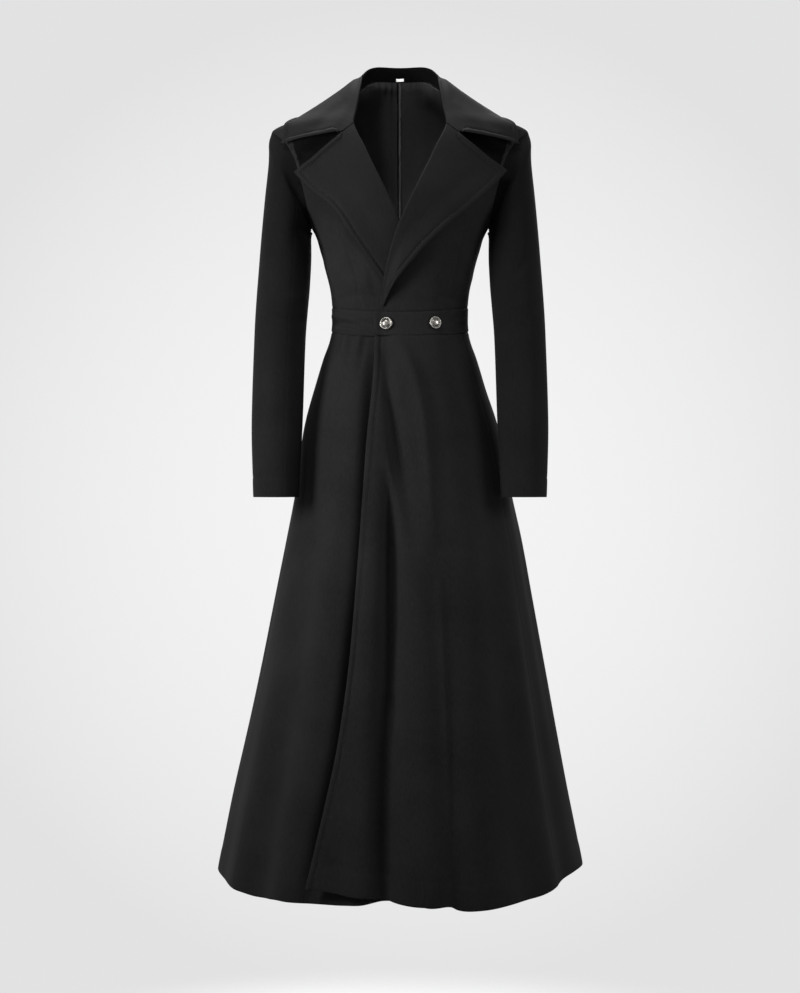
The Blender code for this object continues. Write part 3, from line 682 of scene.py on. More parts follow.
def backPlace(row, column):
    row, column = np.broadcast_arrays(np.asarray(row, float), np.asarray(column, float))
    share = column / bodice["backColumns"]
    high = row / bodice["rows"]
    outerAngle = sideAngle(row)
    outerAngle = np.where(row > bodice["sideRows"], pi - outerAngle, outerAngle)
    angle = mix(pi, outerAngle, share)
    z = waistTop(angle)
    z = z + mix(high * (bodice["napeZ"] - waistTop(pi)), sideZ(row) - waistTop(outerAngle), share)
    topShare = np.minimum(column / bodice["napeColumns"], 1)
    topAngle, topZ = napeCurve(topShare)
    beyond = (column - bodice["napeColumns"]) / (bodice["backColumns"] - bodice["napeColumns"])
    topZ = np.where(beyond > 0, mix(bodice["neckSideZ"], bodice["tipZ"], beyond), topZ)
    straightAngle = mix(pi, pi / 2, share)
    straightZ = waistTop(straightAngle)
    straightZ = straightZ + mix(bodice["napeZ"] - waistTop(pi), bodice["tipZ"] - coat["waistSideZ"], share)
    pull = np.maximum(0, (high - bodice["backPull"]) / (1 - bodice["backPull"])) ** 2
    angle = angle + (topAngle - straightAngle) * pull
    z = z + (topZ - straightZ) * pull + coat["seam"] / 2 * (1 - high)
    shoulder = ease(bodice["rows"] - 1, bodice["rows"], row) * topShare
    angle = angle + halfSeam(section("back", z)) * np.maximum(share, shoulder)
    return angle - halfSeam(section("halfWidth", z)) * (1 - share), z


def makeBodiceFront(side):
    mirror = mirrors[side]
    low, high, inner, outer, slant = bodice["notch"]

    def place(s, t):
        angle, z = frontPlace(t * bodice["rows"], s)
        return onCoat(angle, z, lapped=side == "left") * (mirror, 1, 1)

    def relief(face, s, t, edges):
        x, z = face[..., 0], face[..., 2]
        darts = [(*bodice["darts"][side], *fold) for fold in bodice["dartFolds"]]
        total = seamDip(edges, bodice["frontSeams"]) + creases(x, z, (*darts, *bodice["frontCreases"][side]))
        hollow = creases(x * mirror, z, bodice["hollow"])
        return total + hollow * ease(0, bodice["hollowFull"], edges["right"])

    # the faces that take the painted shade behind the notch
    def paintedShadeBehindNotch(face):
        x, z = abs(face.center.x) / mm, face.center.z / mm
        return low < z < high and inner < x < outer + slant * (z - high)

    piece = clothPiece(
        f"bodiceFront_{side}", f"bodice_front_{side}", spread(76, 1, 0.5), spread(116, 0.5, 0.5), place,
        relief, coat["cloth"], chest, wool,
    )[0]
    patch(piece, meltonAndPaintedShade, paintedShadeBehindNotch)  # painted shade behind the notch, given by the darker undercollar melton


def makeBodiceBack(side):
    mirror = mirrors[side]

    def place(s, t):
        return onCoat(*backPlace(t * bodice["rows"], s * bodice["backColumns"])) * (mirror, 1, 1)

    def relief(face, s, t, edges):
        folds = creases(face[..., 0] * mirror, face[..., 2], bodice["backCreases"])
        return seamDip(edges, bodice["backSeams"]) + folds

    piece = clothPiece(
        f"bodiceBack_{side}", f"bodice_back_{side}", spread(68, 0.5, 0.5), spread(100, 0.5, 0.5), place,
        relief, coat["cloth"], chest, wool,
    )[0]


for side in mirrors:
    makeBodiceFront(side)
    makeBodiceBack(side)
print("bodice made")


# Satin lining inside the back, sewn in at the neck with a little ease
lining = {
    "wall": 1.0,
    "gap": 0.7,
    "trim": 0.15,
    "topTrim": 0.04,
    "openSeam": 1.6,  # the middle seam shows as a dark line
    "seamShift": -2.6,  # its left half is pressed over the right
    "seamReach": 0.12,  # share of the width that takes up this shift
    "seamRidge": {"left": 2.4, "right": 0.0},
    "seamRidgePlace": (2.6, 1.4),  # distance from the seam, half width
    # faces beside the middle seam, material and width: a painted highlight where the left half's fold shines,
    # a painted shadow in melton on the right half
    "seamPaintedLight": {"left": (paintedHighlightSatin, 3.4), "right": (meltonAndPaintedShade, 1.2)},
    # the ease held in at the neck rolls out below its seam, more where it is puckered
    "roll": {"left": 0.5, "right": 2.0},
    "rollPlace": (10, 7),  # distance from the seam, half width
    "rollEnd": (36, 60),  # x where it dies out
    "rollPucker": 0.3,
    "deepest": -0.4,  # it can't sink into the cloth behind
    "sideClear": 3,  # distance from the outer edge where it is free to move
    # puckers under the neck seam: x, length, height, half width
    "puckers": {
        "left": (
            (10, 14, 1.2, 2.0), (20, 16, 2.0, 2.4), (32, 20, 1.4, 3.0), (44, 26, 1.8, 3.4),
            (55, 30, 1.4, 4.0),
        ),
        "right": (
            (8, 18, 1.8, 2.0), (17, 22, 2.4, 2.8), (28, 26, 2.8, 3.6), (39, 22, 2.2, 3.0),
            (49, 26, 1.8, 3.2),
        ),
    },
    "foldClear": {"top": 40, "foot": 30},  # distances from the two ends where the folds are full
    # long soft folds: x at the top, x at the foot, height, half width
    "folds": {
        "left": ((22, 14, -1.6, 7), (44, 30, 1.8, 8), (62, 46, -1.5, 8)),
        "right": ((20, 13, 1.4, 7), (40, 28, -1.6, 8), (58, 44, 1.5, 8)),
    },
}


def makeLining(side):
    mirror = mirrors[side]
    columns = bodice["backColumns"] - 1
    seamX = lining["openSeam"] / 2 + lining["seamShift"] * mirror
    paintedLight, paintedLightWidth = lining["seamPaintedLight"][side]

    def place(s, t):
        row = np.clip(t * bodice["rows"], lining["trim"], bodice["rows"] - lining["topTrim"])
        angle, z = backPlace(row, np.minimum(s * columns, columns - lining["trim"]))
        shift = points(seamX * ease(lining["seamReach"], 0, s), 0, 0)
        return (onCoat(angle, z, -coat["cloth"] - lining["gap"] - lining["wall"]) + shift) * (mirror, 1, 1)

    def relief(face, s, t, edges):
        x, z, below = face[..., 0] * mirror, face[..., 2], edges["top"]
        puckers = np.zeros(x.shape)
        for middle, length, height, width in lining["puckers"][side]:
            puckers += height * bell(x - middle, width) * np.exp(-below / length)
        middle, width = lining["rollPlace"]
        roll = lining["roll"][side] * bell(below - middle, width) * (1 - ease(*lining["rollEnd"], x))
        total = puckers + roll * (1 + lining["rollPucker"] * puckers)
        clear = [ease(0, far, edges[edge]) for edge, far in lining["foldClear"].items()]
        for top, foot, height, width in lining["folds"][side]:
            middle = mix(foot, top, ease(coat["waistSideZ"], 0, z))
            total += height * bell(x - middle, width) * clear[0] * clear[1]
        middle, width = lining["seamRidgePlace"]
        total += lining["seamRidge"][side] * bell(edges["left"] - middle, width)
        return np.maximum(total, lining["deepest"]) * ease(0, lining["sideClear"], edges["right"])

    piece = clothPiece(
        f"lining_{side}", f"lining_back_{side}", spread(72, 0.35, 1), spread(90, 1, 0.4), place, relief,
        lining["wall"], (mirror * 60, 300, coat["waistSideZ"] / 2), satin, 0.3,
    )[0]
    # painted light beside the middle seam: a highlight on the left half, a shadow on the right
    patch(piece, paintedLight, lambda face: face.center.x / mm * mirror < seamX + paintedLightWidth)


for side in mirrors:
    makeLining(side)
print("lining made")


# Lapels, turned back on their roll, with a turned and topstitched edge
lapels = {
    "rollLift": 3.6,
    "tipLift": 7.0,
    "seam": 0.6,
    "endRow": 0.25,
    "rollRows": 4,
    "fallColumns": 6,
    "standRows": 2,
    "fallStep": 0.05,
    "notchShare": 0.18,
    "edgeBand": 9.0,
    "edgeHeight": 1.9,
    "edgeSunk": 0.9,
    "sewnOff": 60.0,  # mm that keep the welt off an edge where it is sewn on
    "notchBlend": (0.06, 0.04),  # shares before and after the notch where the edge comes free
    # how far the free edge stands off the chest, how broad that is, and where it begins above the foot
    "spring": {"left": 9.0, "right": 6.5},
    "springReach": 40.0,
    "springFoot": {"left": (0, 34), "right": (70, 170)},
    # where the stitches run, as shares of the edge
    "edgeStitches": (0.12, 0.955),
    "topStitches": (0.26, 0.945),
    "edges": {
        "left": makeTable(
            "row x z",
            (0.25, -25, -363), (1, -11, -331), (2, 10, -300), (4, 52, -250), (6, 93, -211), (8, 140, -168),
            (9, 163, -140),
        ),
        "right": makeTable(
            "row x z",
            (0.25, -25, -363), (1, -2, -349), (2, 28, -320), (4, 68, -258), (6, 101, -206), (8, 142, -168),
            (9, 163, -142),
        ),
    },
}


def square(vectors, to):
    return unit(vectors - to * (vectors * to).sum(axis=-1, keepdims=True))


# Distance from an edge that is sewn on as far as the notch and free beyond it
def freeEdge(distance, share, before, after):
    notch = lapels["notchShare"]
    return distance + lapels["sewnOff"] * (1 - ease(notch - before, notch + after, share))


# Shown face of cloth that stands up from its foot and rolls over outwards, as far as the roll's end
def rolled(foot, up, out, stand, row):
    stand, row = np.broadcast_arrays(np.asarray(stand, float)[..., None], np.asarray(row, float)[..., None])
    cloth = coat["cloth"]
    standing = foot + up * (stand * row / lapels["standRows"]) - out * cloth
    turn = pi * (row - lapels["standRows"]) / lapels["rollRows"]
    centre = foot + up * stand + out * (lapels["rollLift"] - cloth) / 2
    turning = centre + (up * np.sin(turn) - out * np.cos(turn)) * (lapels["rollLift"] + cloth) / 2
    return np.where(row <= lapels["standRows"], standing, turning)


def lapelPoint(side, row, column):
    left = side == "left"
    rollAngle, rollZ = frontPlace(row, 0.0)
    rollX = bodice["roll"]("x", rollZ)
    edgeX, edgeZ = (lapels["edges"][side](name, row) for name in "xz")
    high = (row - lapels["endRow"]) / (bodice["gorgeRow"] - lapels["endRow"])

    def fall(share):
        z = mix(rollZ, edgeZ, share)
        lift = mix(lapels["rollLift"], mix(lapels["rollLift"], lapels["tipLift"], high**2), share)
        return onCoat(angleOf(mix(rollX, edgeX, share), z), z, lift, left)

    share = (column - lapels["rollRows"]) / lapels["fallColumns"]
    out = outward(rollAngle, rollZ)
    up = square(fall(0.0) - fall(lapels["fallStep"]), out)
    foot = onCoat(rollAngle, rollZ, 0.0, left) + up * lapels["seam"]
    turning = rolled(foot, up, out, 0.0, column + lapels["standRows"])
    return np.where(share[..., None] >= 0, fall(np.maximum(share, 0)), turning)


def makeLapel(side):
    mirror = mirrors[side]
    columns = lapels["rollRows"] + lapels["fallColumns"]
    rollShare = lapels["rollRows"] / columns
    band = lapels["edgeBand"]

    def place(s, t):
        return lapelPoint(side, mix(lapels["endRow"], bodice["gorgeRow"], t), s * columns) * (mirror, 1, 1)

    def relief(face, s, t, edges):
        share = np.clip((s - rollShare) / (1 - rollShare), 0, 1)
        nearest = np.minimum(edges["right"], freeEdge(edges["top"], share, *lapels["notchBlend"]))
        spring = lapels["spring"][side] * (1 - ease(0, lapels["springReach"], edges["right"]))
        spring = spring * ease(*lapels["springFoot"][side], edges["foot"])
        room = ease(band, 3 * band, edges["left"])
        return (welt(nearest, band, lapels["edgeHeight"], lapels["edgeSunk"]) + spring) * room

    s = np.concatenate([spread(14) * rollShare, rollShare + spread(72, 1, 0.4)[1:] * (1 - rollShare)])
    piece, cut = clothPiece(
        f"lapelCloth_{side}", f"lapel_{side}", s, spread(136, 1, 0.35), place, relief, coat["turnedCloth"],
        (mirror * 40, 0, coat["waistSideZ"] / 2), facing,
    )
    topStart, topEnd = lapels["topStitches"]
    rows = [
        lineAt(cut, "right", band, *lapels["edgeStitches"]),
        lineAt(cut, "top", band, mix(rollShare, 1, topStart), topEnd),
    ]
    sewing = stitches(f"lapelStitches_{side}", rows)


for side in mirrors:
    makeLapel(side)
print("lapels made")


# Collar: stand, roll and fall in one, edged as the lapels are
collar = {
    "lift": 5.4,
    "seam": -0.6,
    "standLean": 0.25,
    "fallBlend": 1.1,
    "fallRows": 7,
    "stations": 8,
    "endRow": 9.04,
    "tipX": 184.0,
    "tipZ": -98.0,
    "form": makeTable(
        "station stand edgeAngle edgeZ edgeLift",
        (0, 22, 180, -66, 5.5),
        (2, 22, 148, -66, 5.5),
        (3.5, 20.5, 118, -58, 5),
        (5, 19, 92, -48, 3.0),
        (6, 13, 73, -53, 3.5),
        (7, 6, 61, -69, 6.2),
        (8, 1, 64, -98, 7),
    ),
    "weltLow": (0.3, 5, 45),  # the welt is this low over the shoulder, and rises between these two depths
    "weltStart": (0.0, 0.1),  # share of the fall
    "notchBlend": (0.04, 0.1),
    # how far the free ends stand off, how broad that is, and the shares where it begins and is full
    "spring": 4.5,
    "springReach": 50.0,
    "springFull": 0.9,
    # rounded out beside the neck: x and half width, y and half width, height, share where it is full
    "shoulderFill": (74, 24, 15, 50, 5.5, 0.12),
    # where the stitches run, as shares of the edge
    "topStitches": (0.03, 0.97),
    "endStitches": (0.3, 0.93),
    # creases on the front of the fall, where y and the share of the fall allow them
    "creaseDepth": (10, -20),
    "creaseStart": (0.05, 0.2),
    # x and z along each, height, half width
    "creases": (
        (-84, -24, -110, -44, -140, -84, -1.5, 9),
        (-96, -18, -126, -40, -160, -76, 1.4, 10),
        (-82, -46, -100, -64, -120, -84, 1.2, 9),
        (86, -24, 112, -46, 138, -84, 1.4, 10),
        (98, -20, 130, -46, 158, -80, -1.3, 9),
    ),
}


def collarSeam(station):
    behind = napeCurve(np.minimum(station / bodice["napeColumns"], 1))
    row = bodice["rows"] - np.maximum(station - bodice["napeColumns"], 0)
    before = frontPlace(np.maximum(row, collar["endRow"]), 0.0)
    return np.where(station <= bodice["napeColumns"], behind, before)


# Front end of the collar: sewn along the lapel's top edge to the notch, then free out to its tip
def collarFrontEdge(share):
    notch = lapels["notchShare"]
    rollZ = bodice["frontEdge"]("z", bodice["gorgeRow"])

    def along(name, roll, tip):
        middle = mix(roll, lapels["edges"]["left"](name, bodice["gorgeRow"]), notch)
        free = (share - notch) / (1 - notch)
        return np.where(share < notch, mix(roll, middle, share / notch), mix(middle, tip, free))

    x = along("x", bodice["roll"]("x", rollZ), collar["tipX"])
    z = along("z", rollZ, collar["tipZ"]) + bodice["frontEdge"]("z", collar["endRow"]) - rollZ
    return angleOf(x, z), z


def collarPoint(station, row):
    station, row = np.broadcast_arrays(np.asarray(station, float), np.asarray(row, float))
    seamAngle, seamZ = collarSeam(station)
    front = np.maximum(0, station - bodice["napeColumns"]) / (collar["stations"] - bodice["napeColumns"])
    ends = np.maximum(0, station - (collar["stations"] - 1))
    turnedRow = lapels["standRows"] + lapels["rollRows"]

    def form(name):
        return collar["form"](name, station)

    def over(share):
        share = np.broadcast_to(share, station.shape)
        gorgeAngle, gorgeZ = collarFrontEdge(share)
        angle = mix(mix(seamAngle, np.radians(form("edgeAngle")), share), gorgeAngle, ends)
        z = mix(mix(seamZ, form("edgeZ"), share), gorgeZ, ends)
        lift = mix(collar["lift"], form("edgeLift"), share)
        return onCoat(angle, z, lift - (collar["lift"] - lapels["rollLift"]) * front**2 * (1 - share) ** 3)

    start = over(0.0)
    flat = unit(start - over(lapels["fallStep"]))
    up = unit(mix(np.array([0, 0, 1.0]), flat, mix(collar["standLean"], 1.0, front)[..., None]))
    out = square(outward(seamAngle, seamZ), up)
    foot = onCoat(seamAngle, seamZ) + up * collar["seam"]
    turned = rolled(foot, up, out, form("stand"), np.minimum(row, turnedRow))
    end = rolled(foot, up, out, form("stand"), turnedRow)
    share = np.clip((row - turnedRow) / collar["fallRows"], 0, 1)
    fall = over(share) + (end - start) * ((1 - share) ** collar["fallBlend"])[..., None]
    return np.where(row[..., None] <= turnedRow, turned, fall)


def makeCollar():
    turnedRow = lapels["standRows"] + lapels["rollRows"]
    rows = turnedRow + collar["fallRows"]
    turnedShare = turnedRow / rows
    stand = lapels["standRows"] / rows
    band = lapels["edgeBand"]

    def place(s, t):
        station = (2 * s - 1) * collar["stations"]
        face = collarPoint(np.abs(station), t * rows)
        face[..., 0] = np.where(station < 0, -face[..., 0], face[..., 0])
        return face

    def relief(face, s, t, edges):
        x, y, z = np.moveaxis(face, -1, 0)
        share = np.clip((t - turnedShare) / (1 - turnedShare), 0, 1)
        end = np.minimum(edges["left"], edges["right"])
        nearest = np.minimum(edges["top"], freeEdge(end, share, *collar["notchBlend"]))
        low, near, far = collar["weltLow"]
        height = lapels["edgeHeight"] * mix(low, 1.0, ease(near, far, np.abs(y)))
        total = welt(nearest, band, height, lapels["edgeSunk"]) * ease(*collar["weltStart"], share)
        shown = ease(*collar["creaseDepth"], y) * ease(*collar["creaseStart"], share)
        total = total + creases(x, z, collar["creases"]) * shown
        middleX, halfX, middleY, halfY, height, full = collar["shoulderFill"]
        filled = height * bell(np.abs(x) - middleX, halfX) * bell(y - middleY, halfY)
        total = total + filled * ease(0, full, share)
        spring = collar["spring"] * (1 - ease(0, collar["springReach"], end))
        return total + spring * ease(lapels["notchShare"], collar["springFull"], share)

    t = np.concatenate([
        spread(8) * stand,
        stand + spread(16)[1:] * (turnedShare - stand),
        turnedShare + spread(56, 1, 0.4)[1:] * (1 - turnedShare),
    ])
    piece, cut = clothPiece(
        "collar_cloth", "collar", spread(190, 0.35, 0.35), t, place, relief, coat["turnedCloth"], (0, 0, -60),
        facing,
    )
    freeStart, freeEnd = collar["endStitches"]
    lines = [lineAt(cut, "top", band, *collar["topStitches"])]
    for edge in ("left", "right"):
        lines.append(lineAt(cut, edge, band, mix(turnedShare, 1, freeStart), freeEnd))
    sewing = stitches("collarStitches", lines)
    # undercollar melton on the inside of the stand, up to the top of the roll: partly its own darker tone,
    # partly painted shade
    standRows = int((t < turnedShare - (turnedShare - stand) / 2).sum())
    standFaces = (len(cut["face"][0]) - 1) * standRows
    patch(piece, meltonAndPaintedShade, lambda face: face.index < standFaces)
    return piece, sewing


collarCloth, collarSewing = makeCollar()
print("collar made")


# Blank tab of folded tape at the nape
tab = {
    "width": 13.0,
    "height": 4.8,
    "wall": 0.8,
    "foot": 0.1,
    "bulge": 0.25,
    "fold": (0.12, 1.2, 0.5),  # height, distance from the foot, half width
}


def makeTab():
    width = np.linalg.norm(collarPoint(1.0, tab["foot"]) - collarPoint(0.0, tab["foot"]))
    stand = collar["form"]("stand", 0)

    def place(s, t):
        row = tab["foot"] + lapels["standRows"] * t * tab["height"] / stand
        aside = (s - 0.5) * tab["width"] / width
        face = mix(collarPoint(0.0, row), collarPoint(1.0, row), np.abs(aside)[..., None])
        face[..., 0] *= np.sign(aside)
        return face - (0, coat["seam"] + tab["wall"], 0)

    def relief(face, s, t, edges):
        height, at, width = tab["fold"]
        return tab["bulge"] * np.sin(pi * s) * np.sin(pi * t) + height * bell(edges["foot"] - at, width)

    return clothPiece(
        "nape_tab", "label", spread(26), spread(14), place, relief, tab["wall"],
        collarPoint(0.0, tab["foot"]) + (0, 100, 0), tape, 0.25,
    )[0]


napeTab = makeTab()
print("tab made")


# Two-piece sleeves
sleeves = {
    "form": makeTable(
        "share outerX outerZ innerX innerZ halfDepth middleY",
        (0.0, 212, -69, 147, -224, 56, 0),
        (0.08, 216.5, -120, 146.5, -242, 63, -1),
        (0.2, 223, -185, 146, -272, 64, -5),
        (0.35, 230, -275, 147.5, -318, 60, -16),
        (0.55, 236.5, -400, 153.5, -412, 54, -42),
        (0.8, 238.5, -545, 156.5, -548, 48, -76),
        (1.0, 234, -668.5, 161.5, -668.5, 44, -99),
    ),
    "shares": (-0.004, 0.012, 0.03, 0.06, 0.11, 0.18, 0.27, 0.38, 0.5, 0.62, 0.75, 0.88, 1.0),
    "head": 0.05,
    "length": 620.0,
    "headOut": 0.15,
    "headSideOut": 0.75,
    "headSideRise": 0.5,
    "seamColumn": 5,
    "hem": 32.0,
    "hemWelt": (0.35, 0.35),
    "girth": 52.0,  # mm for each radian round the arm
    "middle": 0.27,  # share of the length of the point inside
    "seams": {"left": (0.15, 2.2), "right": (0.15, 2.2), "foot": (0.5, 2.2)},
    # the head's fullness: height, share of the length, half width, distance from its seam
    "fullness": (1.6, 0.035, 0.028, 14),
    "creaseStart": (0.05, 0.12),
    # creases: turn in degrees (90 is the front) and share of the length along each, height, half width in mm
    "creases": {
        "left": (
            (150, 0.1, 120, 0.16, 96, 0.26, -2.0, 12),
            (40, 0.3, 80, 0.36, 120, 0.38, -1.8, 11),
            (150, 0.44, 110, 0.47, 60, 0.45, 2.0, 12),
            (170, 0.5, 120, 0.53, 70, 0.54, -2.2, 10),
            (60, 0.62, 74, 0.76, 70, 0.92, 1.6, 14),
            (200, 0.42, 240, 0.46, 290, 0.44, -2.0, 12),
            (230, 0.54, 270, 0.57, 310, 0.56, 2.0, 12),
            (250, 0.2, 280, 0.3, 286, 0.4, -1.8, 14),
        ),
        "right": (
            (150, 0.09, 124, 0.15, 104, 0.28, -2.2, 12),
            (36, 0.24, 70, 0.32, 110, 0.33, -1.6, 12),
            (156, 0.4, 116, 0.44, 66, 0.47, 2.0, 13),
            (166, 0.49, 126, 0.5, 80, 0.51, -2.2, 10),
            (84, 0.58, 80, 0.72, 86, 0.88, 1.6, 14),
            (206, 0.44, 250, 0.48, 296, 0.45, -2.0, 12),
            (226, 0.56, 266, 0.58, 316, 0.6, 2.0, 12),
            (256, 0.22, 276, 0.3, 290, 0.42, -1.8, 14),
        ),
    },
}


def armholePoint(turn):
    row = bodice["rows"] - bodice["armholeRows"] * np.abs(turn) / pi
    frontAngle, frontZ = frontPlace(row, 1.0)
    backAngle, backZ = backPlace(row, float(bodice["backColumns"]))
    inFront = turn >= 0
    return figure(np.where(inFront, frontAngle, backAngle), np.where(inFront, frontZ, backZ))


def sleevePoint(turn, share):
    def column(name):
        return sleeves["form"](name, share)

    outer = points(column("outerX"), 0, column("outerZ"))
    inner = points(column("innerX"), 0, column("innerZ"))
    centre = (outer + inner) / 2 + points(0, column("middleY"), 0)
    depth = points(0, -column("halfDepth"), 0)
    tube = centre + (outer - inner) / 2 * np.cos(turn)[..., None] + depth * np.sin(turn)[..., None]
    ownForm = ease(0, sleeves["head"], share)[..., None]
    side = np.abs(np.sin(turn))
    leave = points(sleeves["headOut"] + sleeves["headSideOut"] * side, 0, sleeves["headSideRise"] * side - 1)
    near = np.where(turn <= pi, turn, turn - 2 * pi)
    head = armholePoint(near) + unit(leave) * (coat["seam"] + sleeves["length"] * share)[..., None]
    return mix(head, tube, ownForm)


def makeSleeve(side, name, first, last, columns):
    mirror = mirrors[side]
    girth, length = sleeves["girth"], sleeves["length"]
    shares = np.array(sleeves["shares"])

    def shareAt(t):
        return np.interp(t * (len(shares) - 1), np.arange(len(shares)), shares)

    def turnAt(s, share):
        seam = halfSeam(sleeves["form"]("halfDepth", share))
        return mix(first + seam, last - seam, s)

    def place(s, t):
        share = shareAt(t)
        return sleevePoint(turnAt(s, share), share) * (mirror, 1, 1)

    def inMm(turn, share):
        return math.radians(turn) * girth, share * length

    def relief(face, s, t, edges):
        share = shareAt(t)
        around = wrapped(turnAt(s, share), 0) * girth
        height, at, width, clear = sleeves["fullness"]
        total = seamDip(edges, sleeves["seams"])
        total = total + height * bell(share - at, width) * ease(0, clear, edges["foot"])
        folds = creases(around, share * length, sleeves["creases"][side], inMm)
        total = total + folds * ease(*sleeves["creaseStart"], share)
        return total + welt(edges["top"], sleeves["hem"], *sleeves["hemWelt"])

    middle = np.array(sleeves["middle"])
    inside = (sleevePoint(0.0, middle) + sleevePoint(pi, middle)) / 2 * (mirror, 1, 1)
    piece = clothPiece(
        f"sleeve{name.capitalize()}_{side}", f"sleeve_{name}_{side}", spread(columns, 0.6, 0.6),
        spread(168, 0.7, 0.5), place, relief, coat["cloth"], inside, woolSleevesPaintedShade,
    )[0]


seamTurn = pi * sleeves["seamColumn"] / bodice["armholeRows"]
for side in mirrors:
    makeSleeve(side, "upper", -seamTurn, seamTurn, 76)
    makeSleeve(side, "under", seamTurn, 2 * pi - seamTurn, 46)
print("sleeves made")


# Waistband, set in flat
bands = {
    "height": 40.0,
    "proud": 0.6,
    "stitchInset": 2.6,
    "frontEdge": -38.0,
    "underlap": math.radians(19.5),
    "spring": 4.6,  # how far the lapped end stands off
    "springReach": 14.0,
    "radius": 100.0,
    "seams": {"foot": (1.2, 1.8), "top": (1.2, 1.8), "left": (0.3, 2.0), "right": (0.3, 2.0)},
    # creases along the right half: degrees and share of the height, height, half width in mm
    "creases": (
        (-86, 0.6, -62, 0.7, -36, 0.56, 3.4, 5.0),
        (-82, 0.34, -58, 0.42, -34, 0.3, -3.0, 4.5),
        (-70, 0.14, -52, 0.22, -26, 0.1, 2.8, 4.0),
        (-44, 0.88, -34, 0.72, -22, 0.6, 2.2, 4.0),
        (46, 0.4, 66, 0.5, 84, 0.42, 0.8, 5.0),
        (118, 0.4, 140, 0.5, 164, 0.44, 1.0, 5.0),
        (-166, 0.6, -142, 0.5, -116, 0.58, 1.0, 5.0),
    ),
}


def makeBand(name, node, start, end, columns, lapped):
    radius, high = bands["radius"], bands["height"]

    def place(s, t):
        angle = mix(start, end, s)
        top = waistTop(angle)
        z = mix(top - high + coat["seam"] / 2, top - coat["seam"] / 2, t)
        return onCoat(angle, z, bands["proud"], lapped)

    def inMm(turn, share):
        return math.radians(turn) * radius, share * high

    def relief(face, s, t, edges):
        total = seamDip(edges, bands["seams"])
        total = total + creases(wrapped(mix(start, end, s)) * radius, t * high, bands["creases"], inMm)
        if lapped:
            total = total + bands["spring"] * (1 - ease(0, bands["springReach"], edges["left"]))
        return total

    piece, cut = clothPiece(
        name, node, spread(columns, 0.5, 0.5), spread(26, 0.6, 0.6), place, relief, coat["cloth"],
        (0, 0, coat["waistSideZ"] - high / 2), wool,
    )
    rows = [lineAt(cut, edge, bands["stitchInset"]) for edge in ("foot", "top")]
    sewing = stitches(f"{name}Stitches", rows)


bandEdge = float(angleOf(bands["frontEdge"], coat["waistSideZ"]))
bandSeam = float(halfSeam(section("back", coat["waistSideZ"])))
makeBand("bandFront_left", "waistband_front_left", bandEdge, pi / 2 - bandSeam, 110, True)
makeBand(
    "bandFront_right", "waistband_front_right", bandSeam - pi / 2, bands["underlap"], 110, False
)
makeBand("bandBack", "waistband_back", pi / 2 + bandSeam, 3 * pi / 2 - bandSeam, 170, False)
print("waistband made")


